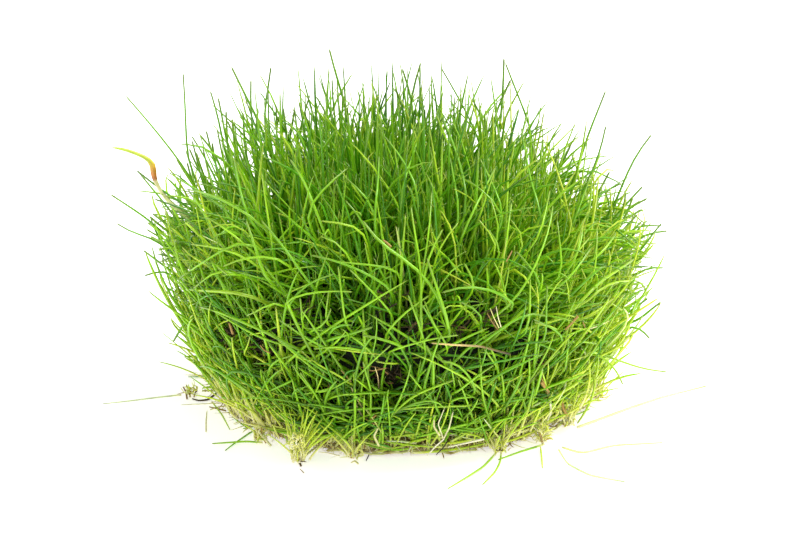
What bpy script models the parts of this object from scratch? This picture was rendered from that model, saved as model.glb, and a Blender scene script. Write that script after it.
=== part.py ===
"""Dwarf hairgrass: a round cushion of thread-leaved tufts growing from one flat mat of roots.

Frame: metres, +Z up. The origin is the centre of the mat's flat underside, and -Y is the front.

The tufts stand in rings on the mat. Every leaf follows a strand: an arc that starts upright over
the middle of the mat and leans further outwards towards the rim, where it is shorter too.
Strands never cross, so tufts that are apart on the mat stay apart all the way to their tips.
"""

import math
import random

import bmesh
import bpy
from mathutils import Vector, noise

MM = 0.001
SEED = 7

# The root mat: its radius across, and how much shallower it is from front to back
MAT_RADIUS = 30.3 * MM
PLAN_DEPTH_SHARE = 0.90
MAT_RIM_HEIGHT = 3.4 * MM
MAT_MIDDLE_HEIGHT = 4.8 * MM
MAT_SIDES = 40
RIM_LUMPS = 0.035
GAP = 0.3 * MM

# The roots that trail from the mat's rim, which keep clear of what else grows there
RIM_ROOTS = 17
ROOT_RADIUS = 0.45 * MM
ROOT_REACH = 6.5 * MM
ROOT_CLEARANCE = 6.5

# How the strands lean from the upright at the rim: at the root, and more for each metre of length.
# The right flank droops further than the left.
ROOT_LEAN = math.radians(38)
LEAN_PER_METRE = math.radians(350)
LEAN_GROWTH = 3.2
RIGHT_DROOP = 0.05

# How long the leaves are over the middle, and how much of that is lost towards the rim.
# The back left of the cushion stands taller.
LEAF_LENGTH = 39.5 * MM
RIM_LENGTH_LOSS = 0.57
LENGTH_LOSS_GROWTH = 5
TALL_SIDE = math.radians(140)
TALL_SIDE_GAIN = 0.10

# The rings of tufts: how far out in steps, and how many. They leave a slot for the shoot.
TUFT_HALF_DEPTH = 4.2 * MM
RING_STEP = 8.8 * MM
TUFT_GAP = 0.5 * MM
RINGS = (("inner", 1, 5), ("middle", 2, 11), ("outer", 3, 15))
SHOOT_SLOT = math.radians(4)

# One tuft: a grooved sheaf, as (share of the leaf's length, width), that parts into locks.
# Each lock is drawn out to a leaf's tip, as (share of the rest of the length, narrowing).
LOCKS = 8
GROOVE = 0.76
SHEAF = ((0.0, 0.70), (0.14, 0.86), (0.34, 0.97), (0.56, 1.0))
LOCK_RINGS = ((0.52, 0.55), (1.0, 0.3))
ROUND_CELL = 2
SQUARE_CELL = 4
TALL_LEAF = 1.25

# The daughter plantlets that root on the surface outside the mat: the angle round it in degrees,
# how far they stand off its rim and how long their leaves are in millimetres, and their lean
DAUGHTER_HALF_WIDTH = 1.9 * MM
DAUGHTER_LOCKS = 5
DAUGHTERS = {
    "left": (185.3, 2.6, 5.0, 30),
    "corner": (227.4, 0.0, 7.0, 50),
    "front_left": (244.5, 4.4, 9.5, 18),
    "front": (297.0, 0.0, 9.0, 50),
    "front_right": (311.0, 0.4, 5.0, 50),
    "right": (349.0, 0.0, 12.0, 50),
    "back_right": (52.0, 0.0, 10.0, 50),
    "back_left": (128.0, 0.0, 11.0, 50),
}

# The leaves that have fallen flat onto the surface, as points across it in millimetres
LEAF_RADIUS = 0.34 * MM
LEAF_TIP_SHARE = 0.35
SURFACE_CLEARANCE = 0.15 * MM
FALLEN_LEAVES = {
    "left": ((-37.9, -3.3), (-43.0, -4.2), (-48.8, -6.3)),
    "corner": ((-24.3, -23.9), (-27.2, -24.0), (-30.4, -22.9)),
    "front_long": ((14.2, -29.6), (11.9, -34.3), (6.3, -41.0)),
    "front_short": ((15.9, -29.6), (14.9, -33.0), (12.0, -38.9)),
    "front_drop": ((22.3, -26.0), (21.7, -29.4), (21.1, -32.6)),
    "right_low": ((24.7, -25.8), (25.6, -31.2), (28.6, -35.2), (33.6, -37.0)),
    "right_middle": ((25.8, -24.2), (28.4, -25.3), (32.8, -23.6), (40.3, -22.4)),
    "right_long": ((27.9, -15.1), (33.0, -11.6), (41.0, -6.2), (50.0, -0.4)),
    "back_right": ((21.9, 26.6), (25.5, 31.5), (32.0, 35.5)),
    "back_left": ((-21.7, 26.9), (-23.8, 33.0), (-20.5, 39.0)),
}

# The runners: arcs that hug the mat's rim, from one angle in degrees to another, and short
# spokes that tie the plantlets standing off the rim to it
RUNNER_RADIUS = 0.5 * MM
RUNNER_ARCS = {"front": (248, 292), "right": (316, 344), "back": (57, 123)}
RUNNER_ARC_STEP = 6
RUNNER_SPOKES = {"left": "left", "front_left": "front_left"}

# The runner shoot that leans out over the left flank: distance out, height and radius, in mm
SHOOT_ANGLE = math.radians(180)
SHOOT = (
    (26.6, 4.1, 0.40),
    (28.0, 12.0, 0.42),
    (30.0, 20.5, 0.42),
    (32.4, 27.2, 0.42),
    (35.4, 31.3, 0.44),
    (38.4, 33.8, 0.50),
    (39.6, 36.2, 0.80),
    (40.0, 38.0, 0.95),
    (40.4, 39.7, 0.60),
    (42.2, 40.9, 0.42),
    (45.0, 41.5, 0.36),
    (47.2, 41.2, 0.14),
)

# Colours are linear, then roughness
LEAF_GREEN = ((0.165, 0.330, 0.030), 0.42)
YOUNG_GREEN = ((0.300, 0.420, 0.060), 0.45)
PALE_STEM = ((0.620, 0.600, 0.300), 0.50)
ROOT_BROWN = ((0.170, 0.130, 0.055), 0.80)


def clear_scene():
    """Removes what the startup scene holds."""
    for obj in list(bpy.data.objects):
        bpy.data.objects.remove(obj)


def make_material(name, finish):
    """A Principled material from a colour and a roughness."""
    colour, roughness = finish
    material = bpy.data.materials.new(name)
    material.use_nodes = True
    material.diffuse_color = (*colour, 1.0)
    shader = material.node_tree.nodes["Principled BSDF"]
    shader.inputs["Base Color"].default_value = (*colour, 1.0)
    shader.inputs["Roughness"].default_value = roughness
    shader.inputs["Metallic"].default_value = 0.0
    return material


def add_object(name, data, material, collection):
    """Links a mesh or a curve under its node's name, with its material."""
    obj = bpy.data.objects.new(name, data)
    data.materials.append(material)
    collection.objects.link(obj)
    return obj


def mesh_from(name, bm):
    """Turns finished bmesh work into a mesh, shaded smooth but for its sharp edges."""
    mesh = bpy.data.meshes.new(name)
    bm.to_mesh(mesh)
    bm.free()
    mesh.shade_smooth()
    mesh.set_sharp_from_angle(angle=math.radians(50))
    return mesh


def on_ring(distance, angle, height):
    """The point at a distance from the mat's axis, at an angle round it and at a height."""
    depth = PLAN_DEPTH_SHARE * distance * math.sin(angle)
    return Vector((distance * math.cos(angle), depth, height))


def mat_top(distance):
    """The height of the mat's gently domed top at a distance from its axis."""
    share = min(distance / MAT_RADIUS, 1.0)
    return MAT_MIDDLE_HEIGHT + (MAT_RIM_HEIGHT - MAT_MIDDLE_HEIGHT) * share**2


def rim_distance(angle):
    """How far out the mat's lumpy rim is at an angle."""
    place = Vector((math.cos(angle), math.sin(angle), 0.3)) * 2.1
    return MAT_RADIUS * (1 + RIM_LUMPS * noise.noise(place))


def strand_point(distance, angle, length):
    """Where a strand is after some length, if it roots at that distance and angle on the mat."""
    lean_share = (distance / MAT_RADIUS) ** LEAN_GROWTH * (1 + RIGHT_DROOP * math.cos(angle))
    height = mat_top(distance) + GAP
    start = lean_share * ROOT_LEAN
    bend = lean_share * LEAN_PER_METRE
    if bend * length < 1e-6:
        return on_ring(distance, angle, height + length)
    end = start + bend * length
    outwards = (math.cos(start) - math.cos(end)) / bend
    upwards = (math.sin(end) - math.sin(start)) / bend
    return on_ring(distance + outwards, angle, height + upwards)


def strand_length(distance, angle):
    """How long an ordinary leaf is where it roots."""
    share = distance / MAT_RADIUS
    side = 1 + TALL_SIDE_GAIN * share * math.cos(angle - TALL_SIDE)
    return LEAF_LENGTH * side * (1 - RIM_LENGTH_LOSS * share**LENGTH_LOSS_GROWTH)


def draw_lock(bm, face, tip_share, drift):
    """Draws one lock of a sheaf's top out to a pointed leaf, which drifts aside as it goes."""
    first = SHEAF[-1][0]
    for share, narrowing in LOCK_RINGS:
        face = bmesh.ops.extrude_discrete_faces(bm, faces=[face])["faces"][0]
        middle = face.calc_center_median()
        for vertex in face.verts:
            aside = (vertex.co - middle) * narrowing
            vertex.co.xy = (middle + aside + drift).xy
            vertex.co.z = first + share * (tip_share - first)
    bmesh.ops.pointmerge(bm, verts=face.verts, merge_co=face.calc_center_median())


def straight_tuft(locks, leaf_shares, turn, cell, draw):
    """A tuft before it is bent, in a cell 2 wide, with its heights as shares of its leaf length.

    The sheaf is a cone with a groove between each two locks. Its top is parted into one face for
    each lock, and every lock is drawn out on its own. The cell is round or has rounded corners.
    """
    bm = bmesh.new()
    bmesh.ops.create_cone(
        bm, cap_ends=True, segments=2 * locks, radius1=1.0, radius2=1.0, depth=1.0
    )
    top = max(bm.faces, key=lambda face: face.calc_center_median().z)
    for vertex in bm.verts:
        vertex.co.z = SHEAF[0][0] if vertex.co.z < 0 else SHEAF[1][0]
    for share, _ in SHEAF[2:]:
        top = bmesh.ops.extrude_discrete_faces(bm, faces=[top])["faces"][0]
        for vertex in top.verts:
            vertex.co.z = share
    middle = bmesh.ops.poke(bm, faces=[top])["verts"][0]
    first_angle = math.pi / 2

    def on_ridge(vertex):
        angle = math.atan2(vertex.co.y, vertex.co.x) - first_angle
        return round(angle / (math.pi / locks)) % 2 == 1

    ridges = [edge for edge in middle.link_edges if on_ridge(edge.other_vert(middle))]
    bmesh.ops.dissolve_edges(bm, edges=ridges, use_verts=False)
    for vertex in bm.verts:
        if vertex is middle:
            continue
        angle = math.atan2(vertex.co.y, vertex.co.x) + turn
        corner = (abs(math.cos(angle)) ** cell + abs(math.sin(angle)) ** cell) ** (-1 / cell)
        width = min(SHEAF, key=lambda ring: abs(ring[0] - vertex.co.z))[1] * corner
        if not on_ridge(vertex):
            width *= GROOVE
        vertex.co.x = width * math.cos(angle)
        vertex.co.y = width * math.sin(angle)
    for face, tip_share in zip(list(middle.link_faces), leaf_shares):
        drift = face.calc_center_median() * draw.uniform(-0.04, 0.08)
        draw_lock(bm, face, tip_share, drift)
    return bm


def leaf_shares(locks, draw, tall):
    """How long each lock's leaf is, as shares of the tuft's leaf length, with one tall leaf."""
    shares = [draw.uniform(0.84, 1.06) for _ in range(locks)]
    shares[draw.randrange(locks)] = tall
    return shares


def build_ring_tuft(name, distance, angle, half_turn, material, collection, draw):
    """A tuft in a ring: its cell is bent round the mat's axis, and it follows the strands."""
    shares = leaf_shares(LOCKS, draw, TALL_LEAF * draw.uniform(0.92, 1.0))
    bm = straight_tuft(LOCKS, shares, draw.uniform(0, math.tau), SQUARE_CELL, draw)
    for vertex in bm.verts:
        root = distance + TUFT_HALF_DEPTH * vertex.co.x
        turn = angle + half_turn * vertex.co.y
        vertex.co = strand_point(root, turn, vertex.co.z * strand_length(root, turn))
    add_object(name, mesh_from(name, bm), material, collection)


def build_centre_tuft(material, collection, draw):
    """The tuft on the mat's axis, whose cell is round."""
    shares = leaf_shares(LOCKS, draw, TALL_LEAF)
    bm = straight_tuft(LOCKS, shares, 0.0, ROUND_CELL, draw)
    for vertex in bm.verts:
        root = TUFT_HALF_DEPTH * vertex.co.to_2d().length
        turn = math.atan2(vertex.co.y, vertex.co.x)
        vertex.co = strand_point(root, turn, vertex.co.z * strand_length(root, turn))
    add_object("tuft_centre", mesh_from("tuft_centre", bm), material, collection)


def build_tufts(material, collection, draw):
    """The centre tuft and the rings. The tufts of a ring share it, with a gap between them."""
    build_centre_tuft(material, collection, draw)
    for ring, step, count in RINGS:
        distance = step * RING_STEP
        spacing = (math.tau - SHOOT_SLOT) / count
        half_turn = spacing / 2 - TUFT_GAP / 2 / (distance - TUFT_HALF_DEPTH / 2)
        for index in range(count):
            angle = SHOOT_ANGLE + SHOOT_SLOT / 2 + spacing * (index + 0.5)
            name = f"tuft_{ring}_{index + 1:02d}"
            build_ring_tuft(name, distance, angle, half_turn, material, collection, draw)


def daughter_distance(angle, stand_off):
    """How far from the mat's axis a daughter plantlet roots."""
    return rim_distance(angle) + GAP + DAUGHTER_HALF_WIDTH + stand_off


def build_daughters(material, collection, draw):
    """Small plantlets outside the mat. They lean out below the outer tufts."""
    for name, (degrees, stand_off, length, lean) in DAUGHTERS.items():
        shares = leaf_shares(DAUGHTER_LOCKS, draw, 1.15)
        bm = straight_tuft(DAUGHTER_LOCKS, shares, draw.uniform(0, math.tau), ROUND_CELL, draw)
        angle = math.radians(degrees)
        distance = daughter_distance(angle, stand_off * MM)
        outwards = math.sin(math.radians(lean))
        upwards = math.cos(math.radians(lean))
        for vertex in bm.verts:
            along = vertex.co.z * length * MM
            root = distance + DAUGHTER_HALF_WIDTH * vertex.co.x
            turn = angle + DAUGHTER_HALF_WIDTH / distance * vertex.co.y
            height = SURFACE_CLEARANCE + along * upwards
            vertex.co = on_ring(root + along * outwards, turn, height)
        node = f"daughter_plantlet_{name}"
        add_object(node, mesh_from(node, bm), material, collection)


def smooth_route(points, count):
    """Points along a smooth curve through a few chosen ones, each a vector of any size."""
    ends = [2 * points[0] - points[1], *points, 2 * points[-1] - points[-2]]
    route = []
    for index in range(count):
        place = index / (count - 1) * (len(points) - 1)
        span = min(int(place), len(points) - 2)
        t = place - span
        a, b, c, d = ends[span : span + 4]
        route.append(
            0.5 * (2 * b + (c - a) * t + (2 * a - 5 * b + 4 * c - d) * t**2)
            + 0.5 * (3 * b - a - 3 * c + d) * t**3
        )
    return route


def tube_curve(name, points, radii, resolution=0):
    """A curve with filled caps through the points, as thick at each as its radius."""
    curve = bpy.data.curves.new(name, "CURVE")
    curve.dimensions = "3D"
    curve.bevel_depth = MM
    curve.bevel_resolution = resolution
    curve.use_fill_caps = True
    spline = curve.splines.new("POLY")
    spline.points.add(len(points) - 1)
    for spot, point, radius in zip(spline.points, points, radii):
        spot.co = (*point, 1.0)
        spot.radius = radius / MM
    return curve


def build_fallen_leaves(material, collection):
    """The leaves that lie flat on the surface, tapering to their tips."""
    for name, places in FALLEN_LEAVES.items():
        points = smooth_route([Vector(place) * MM for place in places], 9)
        radii = []
        for index in range(len(points)):
            share = index / (len(points) - 1)
            radii.append(LEAF_RADIUS * (1 - (1 - LEAF_TIP_SHARE) * share**2))
        route = [
            Vector((*point, radius + SURFACE_CLEARANCE))
            for point, radius in zip(points, radii)
        ]
        node = f"fallen_leaf_{name}"
        add_object(node, tube_curve(node, route, radii), material, collection)


def add_runner(name, points, material, collection):
    """One runner through the points, of one thickness."""
    node = f"runner_{name}"
    curve = tube_curve(node, points, [RUNNER_RADIUS] * len(points), resolution=1)
    add_object(node, curve, material, collection)


def build_runners(material, collection):
    """The runners that creep round the mat's rim, and the spokes out to the far plantlets."""
    height = RUNNER_RADIUS + SURFACE_CLEARANCE
    for name, (first, last) in RUNNER_ARCS.items():
        steps = round((last - first) / RUNNER_ARC_STEP)
        points = []
        for index in range(steps + 1):
            angle = math.radians(first + (last - first) * index / steps)
            points.append(on_ring(rim_distance(angle) + GAP + RUNNER_RADIUS, angle, height))
        add_runner(name, points, material, collection)
    for name, daughter in RUNNER_SPOKES.items():
        degrees, stand_off = DAUGHTERS[daughter][:2]
        angle = math.radians(degrees)
        near = rim_distance(angle) + GAP
        far = daughter_distance(angle, stand_off * MM) - DAUGHTER_HALF_WIDTH - GAP
        points = [on_ring(distance, angle, height) for distance in (near, (near + far) / 2, far)]
        add_runner(name, points, material, collection)


def build_shoot(material, collection):
    """The runner shoot: a stem, the swollen sheath at its bend, and its one leaf."""
    profile = smooth_route([Vector(row) * MM for row in SHOOT], 25)
    points = [on_ring(row.x, SHOOT_ANGLE, row.y) for row in profile]
    curve = tube_curve("runner_shoot", points, [row.z for row in profile], resolution=1)
    add_object("runner_shoot", curve, material, collection)


def mat_disc():
    """The mat without its roots: a cylinder whose top is inset towards the middle of its dome."""
    bm = bmesh.new()
    bmesh.ops.create_cone(
        bm,
        cap_ends=True,
        segments=MAT_SIDES,
        radius1=1.0,
        radius2=1.0,
        depth=1.0,
    )
    top = max(bm.faces, key=lambda face: face.calc_center_median().z)
    for vertex in bm.verts:
        if vertex.co.z < 0:
            vertex.co.xy *= 0.965
            vertex.co.z = 0.0
        else:
            vertex.co.z = 0.9 * MM
    shoulders = ((1.0, 2.2 * MM), (0.965, mat_top(MAT_RADIUS)), (0.7, None), (0.35, None))
    for share, height in shoulders:
        top = bmesh.ops.extrude_discrete_faces(bm, faces=[top])["faces"][0]
        for vertex in top.verts:
            vertex.co.xy = vertex.co.xy.normalized() * share
            vertex.co.z = mat_top(share * MAT_RADIUS) if height is None else height
    bmesh.ops.poke(bm, faces=[top])
    for vertex in bm.verts:
        angle = math.atan2(vertex.co.y, vertex.co.x)
        distance = vertex.co.to_2d().length * rim_distance(angle)
        vertex.co = on_ring(distance, angle, vertex.co.z)
    return mesh_from("root_mat", bm)


def root_mesh(angle, reach, sweep):
    """One root that leaves the rim, drops to the surface and curls aside, as a closed mesh."""
    inside = 2.0 * MM
    rows = []
    for step in range(5):
        share = step / 4
        distance = rim_distance(angle) - inside + (inside + reach) * share
        radius = ROOT_RADIUS * (1 - 0.6 * share)
        height = max(1.6 * MM * (1 - share) ** 2, radius + SURFACE_CLEARANCE)
        rows.append((on_ring(distance, angle + sweep * share**2, height), radius))
    curve = tube_curve("root", [row[0] for row in rows], [row[1] for row in rows])
    holder = bpy.data.objects.new("root", curve)
    bpy.context.scene.collection.objects.link(holder)
    bpy.context.view_layer.update()
    graph = bpy.context.evaluated_depsgraph_get()
    mesh = bpy.data.meshes.new_from_object(holder.evaluated_get(graph))
    bpy.data.objects.remove(holder)
    bm = bmesh.new()
    bm.from_mesh(mesh)
    bmesh.ops.remove_doubles(bm, verts=bm.verts, dist=1e-6)
    bmesh.ops.recalc_face_normals(bm, faces=bm.faces)
    bm.to_mesh(mesh)
    bm.free()
    return mesh


def build_mat(material, collection, helpers, draw):
    """The root mat, with the roots at its rim joined on."""
    mat = add_object("root_mat", mat_disc(), material, collection)
    taken = [row[0] for row in DAUGHTERS.values()]
    for first, last in RUNNER_ARCS.values():
        taken.extend(range(first, last + 1, 2))
    for index in range(RIM_ROOTS):
        degrees = 360 * (index + draw.uniform(-0.25, 0.25)) / RIM_ROOTS
        nearest = min(abs((degrees - other + 180) % 360 - 180) for other in taken)
        if nearest < ROOT_CLEARANCE:
            continue
        reach = ROOT_REACH * draw.uniform(0.4, 1.0)
        sweep = draw.uniform(-0.08, 0.08)
        mesh = root_mesh(math.radians(degrees), reach, sweep)
        root = add_object(f"root_cutter_{index:02d}", mesh, material, helpers)
        root.hide_render = True
        root.display_type = "WIRE"
        join = mat.modifiers.new(f"join_root_{index:02d}", "BOOLEAN")
        join.operation = "UNION"
        join.object = root


def main():
    """Builds the whole plant."""
    clear_scene()
    draw = random.Random(SEED)
    collection = bpy.data.collections.new("dwarf_hairgrass")
    helpers = bpy.data.collections.new("helpers")
    bpy.context.scene.collection.children.link(collection)
    bpy.context.scene.collection.children.link(helpers)
    leaf = make_material("leaf_green", LEAF_GREEN)
    young = make_material("young_green", YOUNG_GREEN)
    pale = make_material("pale_stem", PALE_STEM)
    brown = make_material("root_brown", ROOT_BROWN)
    build_mat(brown, collection, helpers, draw)
    build_tufts(leaf, collection, draw)
    build_daughters(young, collection, draw)
    build_fallen_leaves(young, collection)
    build_runners(pale, collection)
    build_shoot(young, collection)


main()
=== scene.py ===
"""Dwarf hairgrass: the dressed clump, leaf by leaf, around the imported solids.

A clump of this plant is thousands of thread leaves. One leaf is modelled once, and its copies are
swept along spines that follow the cushion's strands. The leaves of one tuft are joined in one
mesh, which stands for that tuft's solid. The mat, its roots, the runners, the plantlets at the
foot, the shoot and the fallen leaves are dressed the same way.
"""

from __future__ import annotations

import logging
import math
import random
from collections.abc import Sequence
from dataclasses import dataclass, field
from enum import Enum

import bpy
import numpy as np
from bpy.types import Material, Node, NodeSocket, Object
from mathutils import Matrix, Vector, noise
from mathutils.bvhtree import BVHTree
from numpy.random import Generator


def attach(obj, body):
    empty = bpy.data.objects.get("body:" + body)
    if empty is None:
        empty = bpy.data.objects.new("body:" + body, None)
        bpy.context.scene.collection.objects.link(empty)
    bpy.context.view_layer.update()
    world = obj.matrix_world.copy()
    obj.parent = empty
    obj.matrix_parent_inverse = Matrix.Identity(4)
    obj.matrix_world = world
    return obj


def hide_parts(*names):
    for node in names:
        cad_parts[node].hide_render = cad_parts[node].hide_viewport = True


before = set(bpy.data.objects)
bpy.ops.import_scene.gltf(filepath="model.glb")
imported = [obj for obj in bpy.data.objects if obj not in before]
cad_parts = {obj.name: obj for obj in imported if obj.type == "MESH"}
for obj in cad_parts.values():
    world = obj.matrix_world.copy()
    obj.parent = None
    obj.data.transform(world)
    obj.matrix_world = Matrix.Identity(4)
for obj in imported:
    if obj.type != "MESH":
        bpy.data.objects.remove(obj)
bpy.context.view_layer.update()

log = logging.getLogger("hairgrass")

Span = tuple[float, float]
Stops = tuple[tuple[float, str], ...]
Inputs = dict[str | int, object]

MM = 0.001
BODY = "root"
SEED = 11
# The solids' trailing roots are drawn with this seed, and the visible ones follow them
SOLID_SEED = 7
COLOUR_MAP = "OFBake"
# How much of the tone scale one thread's colours take up, round its girth
TONE_BAND = 0.012
# How low the middle of a free thread may get
FLOOR = 0.35 * MM

LEAF_SLOT = "leaf_green"
YOUNG_SLOT = "young_green"
STEM_SLOT = "pale_stem"
ROOT_SLOT = "root_brown"

BLACK = "#000000"
WHITE = "#ffffff"

# The numbers of the frame's axes into the scene and upwards
DEPTH, HEIGHT = 1, 2


def linear(colour: str) -> tuple[float, float, float, float]:
    """Turns an sRGB hex colour to linear numbers.

    Args:
        colour: The colour as "#rrggbb".

    Returns:
        Red, green, blue and an alpha of 1.
    """
    parts = [int(colour[at : at + 2], 16) / 255 for at in (1, 3, 5)]
    red, green, blue = (x / 12.92 if x <= 0.04045 else ((x + 0.055) / 1.055) ** 2.4 for x in parts)
    return red, green, blue, 1.0


def plug(material: Material, node: Node, inputs: Inputs) -> None:
    """Sets a node's inputs.

    Args:
        material: The material that the node is in.
        node: The node.
        inputs: A value or an output socket for each input, by its name or number.
    """
    for socket, value in inputs.items():
        if isinstance(value, NodeSocket):
            material.node_tree.links.new(value, node.inputs[socket])
        else:
            node.inputs[socket].default_value = value


def add_node(
    material: Material,
    kind: str,
    inputs: Inputs | None = None,
    stops: Stops = (),
    output: str | int = 0,
    **settings: object,
) -> NodeSocket:
    """Adds a shader node with its settings, values and links.

    Args:
        material: The material it goes in.
        kind: The node's type, without the "ShaderNode" that every type starts with.
        inputs: A value or an output socket for each input, by its name or number.
        stops: Places and colours of a colour ramp.
        output: The name or number of the output that is wanted.
        settings: The node's own settings.

    Returns:
        The node's output socket.
    """
    node = material.node_tree.nodes.new("ShaderNode" + kind)
    for name, value in settings.items():
        setattr(node, name, value)
    plug(material, node, inputs or {})
    if stops:
        elements = node.color_ramp.elements
        while len(elements) < len(stops):
            elements.new(0.5)
        for element, (place, colour) in zip(elements, stops):
            element.position = place
            element.color = linear(colour)
    return node.outputs[output]


def thread_map(material: Material) -> tuple[NodeSocket, ...]:
    """Reads the colour map that every thread has.

    Args:
        material: The material that reads it.

    Returns:
        The place on the map, how far along the thread that is, and the thread's tone.
    """
    place = add_node(material, "UVMap", uv_map=COLOUR_MAP)
    along = add_node(material, "SeparateXYZ", {0: place})
    return place, along, along.node.outputs[1]


def ramp(
    material: Material, value: NodeSocket, stops: Stops
) -> NodeSocket:
    """Turns a value to the colours of a ramp."""
    return add_node(material, "ValToRGB", {0: value}, stops=stops)


def mixed(
    material: Material, share: NodeSocket, under: object, over: object
) -> NodeSocket:
    """Lays one colour over another by a share."""
    inputs = {0: share, 6: under, 7: over}
    return add_node(material, "Mix", inputs, output=2, data_type="RGBA")


def deselect() -> None:
    """Deselects everything, because an operator acts on all that is selected."""
    bpy.ops.object.select_all(action="DESELECT")


def select_top(obj: Object) -> None:
    """Selects the upward faces of an object in edit mode, and no others.

    Args:
        obj: The object, which is the active one.
    """
    bpy.ops.object.mode_set(mode="EDIT")
    bpy.ops.mesh.select_mode(type="FACE")
    bpy.ops.mesh.select_all(action="DESELECT")
    bpy.ops.object.mode_set(mode="OBJECT")
    for face in obj.data.polygons:
        face.select = face.normal.z > 0.9
    bpy.ops.object.mode_set(mode="EDIT")


def unit(vectors: np.ndarray) -> np.ndarray:
    """Scales vectors, which run along the last axis, to a length of 1."""
    return vectors / np.maximum(np.linalg.norm(vectors, axis=-1, keepdims=True), 1e-12)


def sampled(line: np.ndarray, shares: np.ndarray) -> np.ndarray:
    """Samples a line of points.

    Args:
        line: The points, one a row.
        shares: Where to sample it, as shares of its length.

    Returns:
        The sampled points, one a row.
    """
    steps = np.linalg.norm(np.diff(line, axis=0), axis=1)
    along = np.concatenate([[0.0], np.cumsum(steps)])
    along /= along[-1]
    return np.stack([np.interp(shares, along, axis) for axis in line.T], axis=1)


def flow(points: np.ndarray, shares: np.ndarray, passes: int, steps: int = 64) -> np.ndarray:
    """Rounds a line through chosen points and samples it along its length.

    Args:
        points: The chosen points, one a row.
        shares: Where to sample it, as shares of its length.
        passes: How often the line's corners are averaged away.
        steps: How many steps the line has meanwhile.

    Returns:
        The sampled points, one a row.
    """
    line = sampled(points, np.linspace(0, 1, steps + 1))
    for _ in range(passes):
        line[1:-1] = 0.25 * line[:-2] + 0.5 * line[1:-1] + 0.25 * line[2:]
    return sampled(line, shares)


def curves(controls: np.ndarray, shares: np.ndarray) -> np.ndarray:
    """Draws smooth curves from their first control points to their last.

    Args:
        controls: The control points of each, as (count, controls, 3).
        shares: Where along each curve its points are wanted.

    Returns:
        Points along each, as (count, shares, 3).
    """
    last = controls.shape[1] - 1
    powers = range(last + 1)
    weights = [[math.comb(last, k) * s**k * (1 - s) ** (last - k) for k in powers] for s in shares]
    return np.einsum("sk,nkd->nsd", np.array(weights), controls)


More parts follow.
